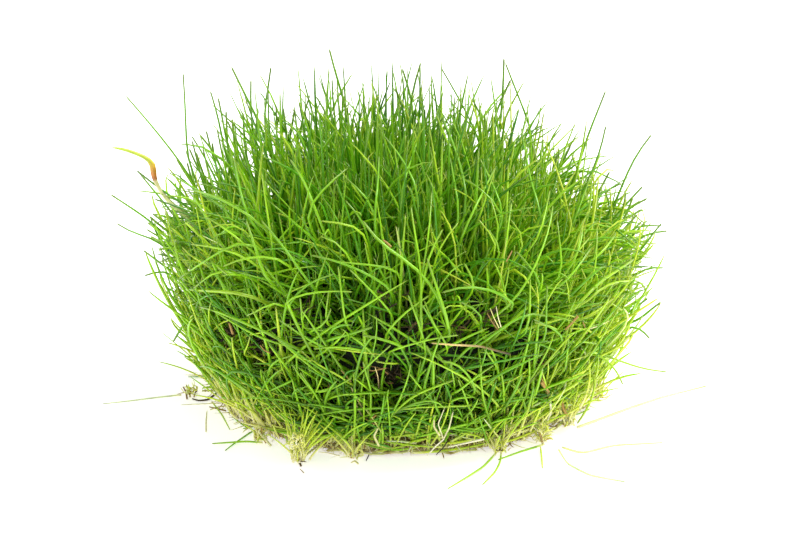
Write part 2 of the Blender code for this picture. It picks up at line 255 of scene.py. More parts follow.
@dataclass(frozen=True)
class Cushion:
    """The cushion's own coordinates: where a strand roots on the mat, and how far up it.

    A place on the mat is (across, deep), scaled so that the mat is a circle. Strands stand
    upright over the middle and lean further outwards towards the rim. The lumps are the rim's,
    and the shell counts say how finely the cushion's outer face is netted.
    """

    radius: float = 30.3 * MM
    depth_share: float = 0.90
    rim_height: float = 3.4 * MM
    middle_height: float = 4.8 * MM
    lumps: float = 0.035
    lump_scale: float = 2.1
    lump_level: float = 0.3
    gap: float = 0.3 * MM
    root_lean: float = math.radians(28)
    lean_per_metre: float = math.radians(-560)
    lean_growth: float = 3.2
    least_lean: float = 1e-3
    right_droop: float = 0.10
    leaf_length: float = 39.5 * MM
    rim_loss: float = 0.40
    loss_growth: float = 6.5
    tall_side: float = math.radians(180)
    tall_gain: float = 0.08
    longest: float = 60 * MM
    search_steps: int = 90
    shell_turns: int = 120
    shell_sides: int = 9
    shell_tops: int = 26

    def mat_top(self, distance: np.ndarray | float) -> np.ndarray:
        """Gives the height of the mat's domed top at a distance from its middle."""
        share = np.minimum(np.asarray(distance) / self.radius, 1.0)
        return self.middle_height + (self.rim_height - self.middle_height) * share**2

    def rim(self, angle: float) -> float:
        """Gives how far out the mat's lumpy rim is at an angle."""
        place = Vector((math.cos(angle), math.sin(angle), self.lump_level)) * self.lump_scale
        return self.radius * (1 + self.lumps * noise.noise(place))

    def on_ring(self, distance: float, angle: float, height: float) -> np.ndarray:
        """Gives the point at a distance and an angle round the mat, and at a height."""
        deep = self.depth_share * distance * math.sin(angle)
        return np.array([distance * math.cos(angle), deep, height])

    def length_at(self, place: np.ndarray) -> np.ndarray:
        """Gives the length of an ordinary leaf that roots at each place.

        Args:
            place: Where each roots on the mat, as (..., 2).

        Returns:
            The lengths, as (...).
        """
        share = np.hypot(place[..., 0], place[..., 1]) / self.radius
        angle = np.arctan2(place[..., 1], place[..., 0])
        side = 1 + self.tall_gain * share * np.cos(angle - self.tall_side)
        loss = self.rim_loss * np.minimum(share, 1.0) ** self.loss_growth
        return self.leaf_length * side * (1 - loss)

    def strand(self, place: np.ndarray, along: np.ndarray) -> np.ndarray:
        """Finds where strands are in the frame.

        Args:
            place: Where each roots on the mat, as (..., 2).
            along: How far up each strand, as (...).

        Returns:
            The points, as (..., 3).
        """
        distance = np.hypot(place[..., 0], place[..., 1])
        angle = np.arctan2(place[..., 1], place[..., 0])
        lean = (distance / self.radius) ** self.lean_growth
        lean = np.maximum(lean * (1 + self.right_droop * np.cos(angle)), self.least_lean)
        start, bend = lean * self.root_lean, lean * self.lean_per_metre
        end = start + bend * along
        reach = distance + (np.cos(start) - np.cos(end)) / bend
        height = self.mat_top(distance) + self.gap + (np.sin(end) - np.sin(start)) / bend
        across, deep = reach * np.cos(angle), self.depth_share * reach * np.sin(angle)
        return np.stack([across, deep, height], axis=-1)

    def root_of(self, point: np.ndarray) -> tuple[np.ndarray, float]:
        """Finds the strand that passes nearest a point.

        Args:
            point: A point in the frame.

        Returns:
            Where that strand roots, and how far up it the point is.
        """
        angle = math.atan2(point[1] / self.depth_share, point[0])
        heading = np.array([math.cos(angle), math.sin(angle)])
        distances = np.linspace(0.001, 1.0, self.search_steps) * self.radius
        heights = np.linspace(0, self.longest, self.search_steps)
        distance, along = np.meshgrid(distances, heights, indexing="ij")
        made = self.strand(distance[..., None] * heading, along)
        best = np.argmin(((made - point) ** 2).sum(-1))
        return distance.ravel()[best] * heading, float(along.ravel()[best])

    def shell(self) -> BVHTree:
        """Nets the outer face of the cushion, from the rim's foot to the middle of its top.

        Returns:
            The net, which rays can be cast at.
        """
        rows = []
        for angle in np.linspace(0, math.tau, self.shell_turns + 1)[:-1]:
            edge = self.radius * np.array([math.cos(angle), math.sin(angle)])
            side = np.linspace(0, 1, self.shell_sides + 1)[:-1] * self.length_at(edge)
            up = self.strand(np.broadcast_to(edge, (len(side), 2)), side)
            inwards = np.linspace(1, 0.01, self.shell_tops)[:, None] * edge
            rows.append(np.concatenate([up, self.strand(inwards, self.length_at(inwards))]))
        net, faces = np.array(rows), []
        turns, steps = net.shape[:2]
        for turn in range(turns):
            near, far = turn * steps, (turn + 1) % turns * steps
            faces.extend((near + k, far + k, far + k + 1, near + k + 1) for k in range(steps - 1))
        return BVHTree.FromPolygons([tuple(point) for point in net.reshape(-1, 3)], faces)


@dataclass(frozen=True)
class StudioCamera:
    """The camera, and what its picture shows at a pixel."""

    elevation: float = math.radians(20)
    target: tuple[float, float, float] = (-0.5 * MM, 0.0, 21.3 * MM)
    distance: float = 432 * MM
    lens: float = 120.0
    sensor: float = 36.0
    picture: tuple[int, int] = (800, 533)

    @property
    def back(self) -> np.ndarray:
        """The direction from the target to the camera."""
        return np.array([0.0, -math.cos(self.elevation), math.sin(self.elevation)])

    @property
    def place(self) -> np.ndarray:
        """Where the camera is."""
        return np.array(self.target) + self.back * self.distance

    def ray(self, pixel: Span) -> np.ndarray:
        """Gives the direction in which the camera sees a pixel.

        Args:
            pixel: The pixel, counted from the picture's top left corner.

        Returns:
            The direction, as a unit vector.
        """
        scale = self.sensor / self.lens / self.picture[0]
        across = (pixel[0] - self.picture[0] / 2) * scale
        upwards = -(pixel[1] - self.picture[1] / 2) * scale
        up = np.array([0.0, math.sin(self.elevation), math.cos(self.elevation)])
        return unit(-self.back + np.array([across, 0.0, 0.0]) + up * upwards)

    def at(self, pixel: Span, axis: int, level: float) -> np.ndarray:
        """Gives the point behind a pixel that is at a level along one axis of the frame."""
        ray = self.ray(pixel)
        return self.place + ray * ((level - self.place[axis]) / ray[axis])

    def build(self) -> None:
        """Makes the camera and puts it in the scene."""
        data = bpy.data.cameras.new("studio_camera")
        data.lens, data.sensor_width = self.lens, self.sensor
        camera = bpy.data.objects.new("studio_camera", data)
        bpy.context.scene.collection.objects.link(camera)
        camera.location = Vector(self.place)
        camera.rotation_euler = Vector(-self.back).to_track_quat("-Z", "Y").to_euler()
        bpy.context.scene.camera = camera


@dataclass(frozen=True)
class ThreadPattern:
    """One straight thread, a unit long and a unit in radius, that is modelled once.

    Its copies are swept along spines. Each level is a share of its length and the width there.
    The plant's leaves are four-edged, and at half a millimetre thick four sides that are shaded
    smooth are enough.
    """

    name: str
    levels: tuple[Span, ...]
    sides: int = 4

    def model(self) -> "Thread":
        """Draws the thread out of a short prism, ring by ring, to its pointed tip.

        Returns:
            The thread, ready to be swept.
        """
        deselect()
        (_, foot), (first, width) = self.levels[:2]
        bpy.ops.mesh.primitive_cylinder_add(
            vertices=self.sides, radius=foot, depth=first, location=(0, 0, first / 2)
        )
        thread = bpy.context.object
        thread.name = self.name
        select_top(thread)
        ratio = width / foot
        bpy.ops.transform.resize(value=(ratio, ratio, 1), center_override=(0, 0, first))
        place = first
        for share, wide in self.levels[2:]:
            bpy.ops.mesh.extrude_region_move(
                TRANSFORM_OT_translate={"value": (0, 0, share - place)}
            )
            ratio, width, place = wide / width, wide, share
            bpy.ops.transform.resize(value=(ratio, ratio, 1), center_override=(0, 0, place))
        bpy.ops.mesh.merge(type="CENTER")
        bpy.ops.object.mode_set(mode="OBJECT")
        bpy.ops.object.transform_apply(location=True, rotation=True, scale=True)
        made = Thread.read(thread, self)
        bpy.data.objects.remove(thread)
        return made


@dataclass(frozen=True)
class Thread:
    """A modelled thread as numbers: its points, faces and where each corner is on it."""

    points: np.ndarray
    ring: np.ndarray
    shares: np.ndarray
    corners: np.ndarray
    starts: np.ndarray
    along: np.ndarray
    around: np.ndarray

    @classmethod
    def read(cls, obj: Object, pattern: ThreadPattern) -> "Thread":
        """Reads a modelled thread.

        Args:
            obj: The modelled object.
            pattern: What it was modelled from.

        Returns:
            The thread as numbers.
        """
        shares = np.array([share for share, _ in pattern.levels])
        points = np.array([vertex.co for vertex in obj.data.vertices], float)
        ring = np.abs(points[:, 2:3] - shares).argmin(axis=1)
        turn = np.arctan2(points[:, 1], points[:, 0]) / math.tau % 1.0
        corners, starts, along, around = [], [], [], []
        for face in obj.data.polygons:
            starts.append(len(corners))
            # The pointed tip has no turn of its own, and a face over the seam has its turns evened
            turns = {v: turn[v] for v in face.vertices if np.hypot(*points[v, :2]) > 1e-6}
            if max(turns.values()) - min(turns.values()) > 0.5:
                turns = {v: t + 1 if t < 0.5 else t for v, t in turns.items()}
            middle = sum(turns.values()) / len(turns)
            for v in face.vertices:
                corners.append(v)
                along.append(shares[ring[v]])
                around.append(turns.get(v, middle))
        arrays = (np.array(x) for x in (corners, starts, along, around))
        return cls(points, ring, shares, *arrays)

    def arc(
        self, start: np.ndarray, heading: float, lean: float, bend: float, length: float
    ) -> np.ndarray:
        """Draws one free arc that stays above the surface.

        Args:
            start: Its first point.
            heading: Which way it sets off, round the mat.
            lean: How far it leans from the upright there.
            bend: What its lean gains by the tip.
            length: How long it is.

        Returns:
            The arc's points at the thread's shares.
        """
        points = [start]
        for near, far in zip(self.shares[:-1], self.shares[1:]):
            tilt, step = lean + bend * (near + far) / 2, length * (far - near)
            out, up = step * math.sin(tilt), step * math.cos(tilt)
            point = points[-1] + np.array([out * math.cos(heading), out * math.sin(heading), up])
            point[2] = max(point[2], FLOOR)
            points.append(point)
        return np.array(points)

    def sweep(
        self,
        name: str,
        spines: np.ndarray,
        radii: np.ndarray,
        tones: np.ndarray,
        rng: Generator,
    ) -> Object:
        """Sweeps a copy of the thread along each spine and joins them in one mesh.

        Args:
            name: The piece's name.
            spines: Points along each spine at the thread's shares, as (count, shares, 3).
            radii: Each copy's radius.
            tones: Each copy's tone, which its colours follow, from 0 to 1.
            rng: Turns each copy about its own spine.

        Returns:
            The new piece.
        """
        tangents = unit(np.gradient(spines, axis=1))
        half = len(self.shares) // 2
        early, late = tangents[:, :half].mean(axis=1), tangents[:, half:].mean(axis=1)
        # Each copy is squared up to the plane that it bends in, and a straight one to any plane
        plane = np.cross(early, late)
        loose = np.linalg.norm(plane, axis=1) < 0.02
        plane[loose] = np.cross(early[loose], rng.normal(size=(int(loose.sum()), 3)))
        plane = plane[:, None, :]
        side = unit(plane - (plane * tangents).sum(-1, keepdims=True) * tangents)
        other = np.cross(tangents, side)
        roll = rng.uniform(0, math.tau, len(spines))[:, None]
        x = self.points[:, 0] * np.cos(roll) - self.points[:, 1] * np.sin(roll)
        y = self.points[:, 0] * np.sin(roll) + self.points[:, 1] * np.cos(roll)
        x, y = x[..., None] * radii[:, None, None], y[..., None] * radii[:, None, None]
        points = spines[:, self.ring] + x * side[:, self.ring] + y * other[:, self.ring]
        return self.joined(name, points, tones)

    def joined(self, name: str, points: np.ndarray, tones: np.ndarray) -> Object:
        """Joins the swept copies in one closed mesh with its colour map.

        Args:
            name: The piece's name.
            points: Each copy's points, as (count, points, 3).
            tones: Each copy's tone.

        Returns:
            The new piece.
        """
        copies = np.arange(len(points))[:, None]
        mesh = bpy.data.meshes.new(name)
        mesh.vertices.add(len(copies) * len(self.points))
        mesh.vertices.foreach_set("co", points.astype(np.float32).ravel())
        corners = self.corners + copies * len(self.points)
        starts = self.starts + copies * len(self.corners)
        mesh.loops.add(corners.size)
        mesh.loops.foreach_set("vertex_index", corners.astype(np.int32).ravel())
        mesh.polygons.add(starts.size)
        mesh.polygons.foreach_set("loop_start", starts.astype(np.int32).ravel())
        mesh.update(calc_edges=True)
        across = tones[:, None] + TONE_BAND * (self.around - 0.5)
        along = np.broadcast_to(0.01 + 0.98 * self.along, across.shape)
        places = np.stack([along, np.clip(across, 0.002, 0.998)], axis=-1)
        colour_map = mesh.uv_layers.new(name=COLOUR_MAP)
        colour_map.uv.foreach_set("vector", places.astype(np.float32).ravel())
        mesh.shade_smooth()
        obj = bpy.data.objects.new(name, mesh)
        bpy.context.scene.collection.objects.link(obj)
        return obj


def tapered(steps: int, loss: float, power: float, rest: float = 0.0) -> tuple[Span, ...]:
    """Gives the levels of a thread that thins towards its tip.

    Args:
        steps: How many steps its levels make.
        loss: How much of its width it has lost by the last of them.
        power: How late it loses it.
        rest: The length that is left beyond them, in steps.

    Returns:
        The levels.
    """
    length = steps + rest
    return tuple((k / length, 1.0 - loss * (k / steps) ** power) for k in range(steps + 1))


LEAF_SHARES = (0.0, 0.12, 0.25, 0.38, 0.51, 0.63, 0.75, 0.86, 0.95, 1.0)
LEAF_WIDTHS = (1.10, 1.12, 1.0, 1.0, 0.97, 0.93, 0.85, 0.70, 0.46, 0.10)
LEAF_PATTERN = ThreadPattern("leaf_pattern", tuple(zip(LEAF_SHARES, LEAF_WIDTHS)))
LONG_LEAF_PATTERN = ThreadPattern(
    "long_leaf_pattern", (*tapered(18, 0.40, 3.0, rest=0.2), (1.0, 0.12))
)
ROOT_PATTERN = ThreadPattern("root_pattern", tapered(7, 0.7, 1.4))
# A stolon's joints, and how wide it is at some shares of its length after each
STOLON_JOINTS = 5
STOLON_JOINT = ((0.012, 1.3), (0.035, 0.95), (0.09, 0.82), (0.16, 0.85), (0.188, 1.2))
STOLON_LEVELS = [(k / STOLON_JOINTS + s, w) for k in range(STOLON_JOINTS) for s, w in STOLON_JOINT]
STOLON_PATTERN = ThreadPattern("stolon_pattern", ((0.0, 0.8), *STOLON_LEVELS, (1.0, 0.8)), sides=8)


@dataclass(frozen=True)
class Streaks:
    """Lengthwise streaks in a thread's colour.

    Cells is how many there are along the thread's colour map and across it, detail how finely
    they break up, and light the darkest and the lightest that they make the colour, which the
    noise reaches at the two values of its own called noise.
    """

    cells: Span
    detail: float
    light: Span
    noise: Span = (0.3, 0.7)

    def over(self, material: Material, place: NodeSocket, colour: NodeSocket) -> NodeSocket:
        """Streaks a colour.

        Args:
            material: The material that it is in.
            place: The place on the thread's colour map.
            colour: The colour.

        Returns:
            The streaked colour.
        """
        long = {0: place, 1: (*self.cells, 1.0)}
        cells = add_node(material, "VectorMath", long, operation="MULTIPLY")
        cloud = add_node(
            material, "TexNoise", {"Vector": cells, "Scale": 1.0, "Detail": self.detail}
        )
        ranges = dict(enumerate((cloud, *self.noise, *self.light)))
        light = add_node(material, "MapRange", ranges)
        return add_node(material, "VectorMath", {0: colour, "Scale": light}, operation="SCALE")


@dataclass(frozen=True)
class Finish:
    """A finish, which is made into one material."""

    name: str
    roughness: float = 0.5

    def surface(self, material: Material) -> Inputs:
        """Adds the finish's own nodes and gives what goes into the shader besides roughness."""
        raise NotImplementedError

    def build(self) -> Material:
        """Makes the material.

        Returns:
            The material.
        """
        material = bpy.data.materials.new(self.name)
        material.use_nodes = True
        shader = material.node_tree.nodes["Principled BSDF"]
        plug(material, shader, {"Roughness": self.roughness, **self.surface(material)})
        return material


@dataclass(frozen=True)
class LeafFinish(Finish):
    """Living submerged leaf: a thin wet cuticle over green tissue.

    Water leaves the skin smooth, so each leaf carries a narrow bright line of light. The tissue
    is translucent and glows yellow-green where the light is behind it. The foot of a leaf is
    blanched, because the crown shades it: blanch says how far up it is palest and where that
    ends. A leaf with no blanch stands deep in the cushion, and the shade ramp darkens it towards
    its foot as painted shade.
    """

    name: str = "hairgrass_leaf_wet_cuticle"
    tones: Stops = (
        (0.0, "#2e640c"),
        (0.25, "#4f980c"),
        (0.5, "#92ca1a"),
        (0.68, "#c8de38"),
        (0.82, "#d8e8bc"),
        (0.90, "#e0c983"),
        (1.0, "#c79a4f"),
    )
    foot: Stops = ((0.0, "#fbf4bc"), (0.34, "#f0ee88"), (0.60, "#cfe03e"))
    shade: Stops = (
        (0.0, "#444438"),
        (0.25, "#80806a"),
        (0.5, "#cccccc"),
        (0.75, "#f6f6f6"),
        (1.0, WHITE),
    )
    withered: Stops = ((0.0, BLACK), (0.87, BLACK), (1.0, "#cccccc"))
    streaks: Streaks = Streaks((9.0, 140.0), 2.0, (0.80, 1.18))
    tip: str = "#66623c"
    roughness: float = 0.34
    film: float = 0.15
    film_roughness: float = 0.18
    ior: float = 1.40
    glow: float = 0.20
    glow_radius: tuple[float, float, float] = (1.0, 1.0, 0.2)
    glow_depth: float = 0.6 * MM
    blanch: Span | None = None

    def surface(self, material: Material) -> Inputs:
        """Lets the patterns follow each leaf by its own colour map.

        Args:
            material: The material that the nodes are added to.

        Returns:
            What goes into its shader besides the roughness.
        """
        place, along, tone = thread_map(material)
        body = self.streaks.over(material, place, ramp(material, tone, self.tones))
        if self.blanch is None:
            # Painted shade: the leaf is darkened towards its foot, where the cushion shades it
            shade = {0: body, 1: ramp(material, along, self.shade)}
            body = add_node(material, "VectorMath", shade, operation="MULTIPLY")
        else:
            most, end = self.blanch
            stops = ((0.0, WHITE), (most, "#d8d8d8"), (end, BLACK), (1.0, BLACK))
            foot = ramp(material, along, self.foot)
            body = mixed(material, ramp(material, along, stops), body, foot)
        withered = ramp(material, along, self.withered)
        return {
            "Base Color": mixed(material, withered, body, linear(self.tip)),
            "IOR": self.ior,
            "Coat Weight": self.film,
            "Coat Roughness": self.film_roughness,
            "Subsurface Weight": self.glow,
            "Subsurface Radius": self.glow_radius,
            "Subsurface Scale": self.glow_depth,
        }


@dataclass(frozen=True)
class RootFinish(Finish):
    """Fine roots and old leaf bases: matt, fibrous, from cream through olive to dark brown."""

    name: str = "hairgrass_root_fibre"
    tones: Stops = (
        (0.0, "#1e1506"),
        (0.18, "#4a3814"),
        (0.33, "#c09a4c"),
        (0.45, "#93733c"),
        (0.6, "#c2b85c"),
        (0.8, "#e8e290"),
        (1.0, "#f8f4d4"),
    )
    streaks: Streaks = Streaks((14.0, 90.0), 3.0, (0.7, 1.15))
    roughness: float = 0.62

    def surface(self, material: Material) -> Inputs:
        """Lets the colour follow each root's tone.

        Args:
            material: The material that the nodes are added to.

        Returns:
            What goes into its shader besides the roughness.
        """
        place, _, tone = thread_map(material)
        body = ramp(material, tone, self.tones)
        return {"Base Color": self.streaks.over(material, place, body)}


@dataclass(frozen=True)
class FeltFinish(Finish):
    """The mat's felt of matted roots and gel residue: damp, matt, olive brown, finely lumpy.

    Grain is the size of a lump, detail and fineness how it breaks up, and relief and lump how
    strongly and how far it stands out.
    """

    name: str = "hairgrass_root_felt"
    colours: Stops = ((0.32, "#3c3416"), (0.5, "#7c7240"), (0.68, "#bdb67c"))
    grain: float = 1.1 * MM
    detail: float = 6.0
    fineness: float = 0.65
    relief: float = 0.8
    lump: float = 0.4 * MM
    roughness: float = 0.7

    def surface(self, material: Material) -> Inputs:
        """Draws colour and relief from noise at the size of the lumps.

        Args:
            material: The material that the nodes are added to.

        Returns:
            What goes into its shader besides the roughness.
        """
        cloud = {
            "Vector": add_node(material, "TexCoord", output="Object"),
            "Scale": 1 / self.grain,
            "Detail": self.detail,
            "Roughness": self.fineness,
        }
        lumps = add_node(material, "TexNoise", cloud)
        relief = {"Height": lumps, "Strength": self.relief, "Distance": self.lump}
        bump = add_node(material, "Bump", relief)
        return {"Base Color": ramp(material, lumps, self.colours), "Normal": bump}


@dataclass(frozen=True)
class ThatchShadeFinish(FeltFinish):
    """Old leaves and roots rotting under the living ones, damp and matt, painted near black as the
    shade deep in the cushion.
    """

    name: str = "hairgrass_thatch"
    colours: Stops = ((0.38, "#0a1305"), (0.55, "#1b2a0c"), (0.72, "#38300f"))
    grain: float = 2.2 * MM
    detail: float = 5.0
    fineness: float = 0.7
    relief: float = 1.0
    lump: float = 0.8 * MM
    roughness: float = 0.85


@dataclass(frozen=True)
class StolonFinish(Finish):
    """A creeping runner: pale, waxy and smooth, with a brown papery sheath at each joint."""

    name: str = "hairgrass_stolon_wax"
    colours: Stops = (
        (0.0, "#7c6630"),
        (0.10, "#b5a860"),
        (0.3, "#d6d596"),
        (0.8, "#c2c878"),
        (1.0, "#9a8448"),
    )
    joints: float = float(STOLON_JOINTS)
    roughness: float = 0.4

    def surface(self, material: Material) -> Inputs:
        """Repeats the colours from joint to joint along the runner.

        Args:
            material: The material that the nodes are added to.

        Returns:
            What goes into its shader besides the roughness.
        """
        along = thread_map(material)[1]
        count = add_node(material, "Math", {0: along, 1: self.joints}, operation="MULTIPLY")
        phase = add_node(material, "Math", {0: count}, operation="FRACT")
        return {"Base Color": ramp(material, phase, self.colours)}


@dataclass(frozen=True)
class ShootFinish(Finish):
    """A young shoot: a pale green stem, an orange-brown papery sheath and one green leaf.

    The sheath is torn and streaked lengthwise.
    """

    name: str = "hairgrass_shoot_sheath"
    colours: Stops = (
        (0.0, "#dfe3a6"),
        (0.60, "#c9d67c"),
        (0.72, "#dfe0a0"),
        (0.768, "#d8cf94"),
        (0.778, "#a8622a"),
        (0.80, "#c4802e"),
        (0.825, "#cfa632"),
        (0.85, "#b9c83a"),
        (1.0, "#b4d046"),
    )
    streaks: Streaks = Streaks((30.0, 400.0), 3.0, (0.75, 1.2))
    roughness: float = 0.42

    def surface(self, material: Material) -> Inputs:
        """Changes the colour along the shoot.

        Args:
            material: The material that the nodes are added to.

        Returns:
            What goes into its shader besides the roughness.
        """
        place, along, _ = thread_map(material)
        body = ramp(material, along, self.colours)
        return {"Base Color": self.streaks.over(material, place, body)}


@dataclass(frozen=True)
class FloorFinish(Finish):
    """A white acrylic table, lit so brightly that it gives light back from below."""

    name: str = "white_table"
    colour: str = "#f4f2f3"
    glow: float = 0.62

    def surface(self, material: Material) -> Inputs:
        """Gives the table its white and its faint, even glow."""
        white = linear(self.colour)
        return {"Base Color": white, "Emission Color": white, "Emission Strength": self.glow}


@dataclass
class Finishes:
    """The materials that the pieces share."""

    # The plain leaf material darkens each leaf towards its foot as painted shade
    leaf: Material = field(default_factory=LeafFinish().build)
    blanched: Material = field(
        default_factory=LeafFinish(
            "hairgrass_leaf_blanched_foot", glow=0.38, blanch=(0.50, 0.88)
        ).build
    )
    shaded: Material = field(
        default_factory=LeafFinish(
            "hairgrass_leaf_pale_foot",
            foot=((0.0, "#f6f0b4"), (0.16, "#dce468"), (0.38, "#b0d234")),
            glow=0.28,
            blanch=(0.14, 0.42),
        ).build
    )
    flank: Material = field(
        default_factory=LeafFinish(
            "hairgrass_leaf_flank",
            foot=((0.0, "#e6e2a0"), (0.20, "#d2da6c"), (0.46, "#a8cc34")),
            blanch=(0.16, 0.46),
        ).build
    )
    young: Material = field(
        default_factory=LeafFinish(
            "hairgrass_young_sheath",
            tones=((0.0, "#d2e250"), (0.5, "#f0f084"), (1.0, "#fdf8cc")),
            glow=0.35,
            blanch=(0.05, 0.16),
        ).build
    )
    fallen: Material = field(
        default_factory=LeafFinish("hairgrass_leaf_fallen", blanch=(0.05, 0.16)).build
    )
    stolon: Material = field(default_factory=StolonFinish().build)
    shoot: Material = field(default_factory=ShootFinish().build)
    # The dark wad inside the cushion, painted near black as shade over old growth
    thatch_shade: Material = field(default_factory=ThatchShadeFinish().build)
    root: Material = field(default_factory=RootFinish().build)
    felt: Material = field(default_factory=FeltFinish().build)


@dataclass(frozen=True)
class Growth:
    """How the leaves of one habit leave their crown. Angles are in degrees.

    Lean is from the strand at the foot, and bend is what is added to it by the tip. Swing is how
    much the leaves turn, and heading how far from straight outwards they set off. Length is a
    share of an ordinary leaf's, stray how far out they may get, as a share of the mat's radius,
    and crest how high, as a share of an ordinary leaf there. Radius is in millimetres.
    """

    lean: Span
    bend: Span
    swing: float
    heading: Span
    length: Span
    stray: Span
    crest: Span
    radius: Span


class Habit(Enum):
    """The habits of leaves in a tuft."""

    UPRIGHT = Growth(
        (4, 52), (-30, 70), 55, (0, 180), (0.80, 1.32), (0.96, 1.04), (0.90, 1.15), (0.18, 0.29)
    )
    TANGLED = Growth(
        (8, 60), (-60, 110), 90, (0, 180), (0.8, 1.35), (0.92, 1.06), (0.85, 1.12), (0.15, 0.27)
    )
    ARCHING = Growth(
        (20, 60), (70, 150), 80, (0, 160), (0.9, 1.45), (0.94, 1.08), (0.9, 1.12), (0.16, 0.29)
    )
    TALL = Growth(
        (0, 30), (-15, 30), 30, (0, 180), (1.12, 1.36), (0.97, 1.0), (1.12, 1.25), (0.20, 0.27)
    )
    STRAY = Growth(
        (5, 35), (0, 80), 50, (0, 80), (1.0, 1.35), (1.03, 1.10), (1.0, 1.2), (0.17, 0.26)
    )


@dataclass
class Grower:
    """Grows leaves from crowns in the cushion's own coordinates, as smooth curves.

    Of the leaves that reach the cushion's face, the share called ending ends there, though none
    of them is cut to less than the shortest share of its length. The others run along the face.
    """

    cushion: Cushion
    shares: np.ndarray
    rng: Generator
    joints: tuple[float, ...] = (0.0, 0.25, 0.5, 0.75, 1.0)
    floor: float = 0.3 * MM
    ending: float = 0.72
    shortest: float = 0.45

    def grow(
        self, growth: Growth, places: np.ndarray, vigour: np.ndarray | float = 1.0
    ) -> np.ndarray:
        """Grows leaves of one habit.

        Args:
            growth: Their habit.
            places: Where each roots on the mat.
            vigour: The length of each, as a share of its habit's.

        Returns:
            Their spines in the frame, as (count, shares, 3).
        """
        rng, count = self.rng, len(places)
        outwards = np.arctan2(places[:, 1], places[:, 0])
        turned = np.radians(rng.uniform(*growth.heading, count))
        heading = outwards + turned * rng.choice((-1, 1), count)
        lean = np.radians(rng.uniform(*growth.lean, count))
        bend = np.radians(rng.uniform(*growth.bend, count))
        swing = np.radians(rng.normal(0, growth.swing, count))
        length = self.cushion.length_at(places) * rng.uniform(*growth.length, count) * vigour
        limit = self.cushion.radius * rng.uniform(*growth.stray, count)
        crest = rng.uniform(*growth.crest, count) * vigour

        def stretched(first: float, last: float) -> tuple[np.ndarray, np.ndarray]:
            """Measures a stretch of each leaf.

            Args:
                first: The share of the leaf's length at which it starts.
                last: The share at which it ends.

            Returns:
                How far it goes sideways, one leaf a row, and how far along the strand.
            """
            middle, step = (first + last) / 2, length * (last - first)
            tilt, way = lean + bend * middle, heading + swing * middle
            aside = (step * np.sin(tilt))[:, None] * np.stack([np.cos(way), np.sin(way)], axis=1)
            return aside, step * np.cos(tilt)

        # Find the share of each leaf at which it would come out of the face
        share, near, free = np.ones(count), np.linalg.norm(places, axis=1), places
        stretches = tuple(zip(self.joints[:-1], self.joints[1:]))
        for first, last in stretches:
            free = free + stretched(first, last)[0]
            far = np.linalg.norm(free, axis=1)
            comes_out = (far > limit) & (share == 1.0)
            at = first + (last - first) * (limit - near) / np.maximum(far - near, 1e-9)
            share, near = np.where(comes_out, at, share), far
        ends = rng.random(count) < self.ending
        length = np.where(ends, length * np.clip(share, self.shortest, 1.0), length)
        place, along = places, np.zeros(count)
        controls = [self.cushion.strand(place, along)]
        for first, last in stretches:
            aside, upwards = stretched(first, last)
            place = place + aside
            distance = np.linalg.norm(place, axis=1)
            place = place * np.minimum(1.0, limit / np.maximum(distance, 1e-9))[:, None]
            along = np.minimum(along + upwards, crest * self.cushion.length_at(place))
            along = np.maximum(along, self.floor)
            controls.append(self.cushion.strand(place, along))
        spines = curves(np.stack(controls, axis=1), self.shares)
        spines[..., 2] = np.maximum(spines[..., 2], self.floor)
        return spines


@dataclass(frozen=True)
class Hollow:
    """A dark hollow in the cushion's face, where few leaves pass and old growth shows.

    Its pixel is given and its radius is in millimetres. Keep is the share of the leaves
    in front of it that stay, and old is how much dead growth fills it.
    """

    pixel: Span
    radius: float
    keep: float = 0.3
    old: int = 0


@dataclass
class Face:
    """The cushion's outer face as the camera sees it, and the hollows in it.

    A hollow reaches from a little before the face to a little behind it. Reach is how far from
    the axis, and how high, any leaf of the clump may get.
    """

    cushion: Cushion
    camera: StudioCamera
    hollows: tuple[Hollow, ...]
    before: float = 12 * MM
    behind: float = 5 * MM
    reach: tuple[float, float, float] = (49 * MM, 41 * MM, 55.4 * MM)

    def __post_init__(self) -> None:
        """Nets the face."""
        self.shell = self.cushion.shell()

    def point(self, pixel: Span, lift: float, depth: float = 0.0) -> np.ndarray:
        """Finds the face's point at a pixel.

        Args:
            pixel: The pixel.
            lift: How far in front of the face the point is.
            depth: How deep in the scene it is where the pixel misses the face.

        Returns:
            The point.
        """
        ray = Vector(self.camera.ray(pixel))
        hit = self.shell.ray_cast(Vector(self.camera.place), ray)[0]
        if hit is None:
            return self.camera.at(pixel, DEPTH, depth)
        return np.array(hit - ray * lift)

    def clear(self, spines: np.ndarray, rng: Generator) -> np.ndarray:
        """Tells which leaves stay: those within reach, and off the hollows with few exceptions.

        Args:
            spines: The leaves' spines.
            rng: Draws which of them stay.

        Returns:
            True for each leaf that stays.
        """
        stay = (np.abs(spines) < self.reach).all(axis=(1, 2))
        for hollow in self.hollows:
            ray = self.camera.ray(hollow.pixel)
            offset = spines - self.point(hollow.pixel, 0.0)
            depth = offset @ ray
            aside = np.linalg.norm(offset - depth[..., None] * ray, axis=-1)
            near = (aside < hollow.radius * MM) & (depth > -self.before) & (depth < self.behind)
            stay &= ~near.any(axis=1) | (rng.random(len(spines)) < hollow.keep)
        return stay


@dataclass(frozen=True)
class Ring:
    """A ring of tufts: how far out, how many, how leafy each is and its mix of habits."""

    name: str
    distance: float
    count: int
    leaves: int
    mix: tuple[float, float, float, float, float]


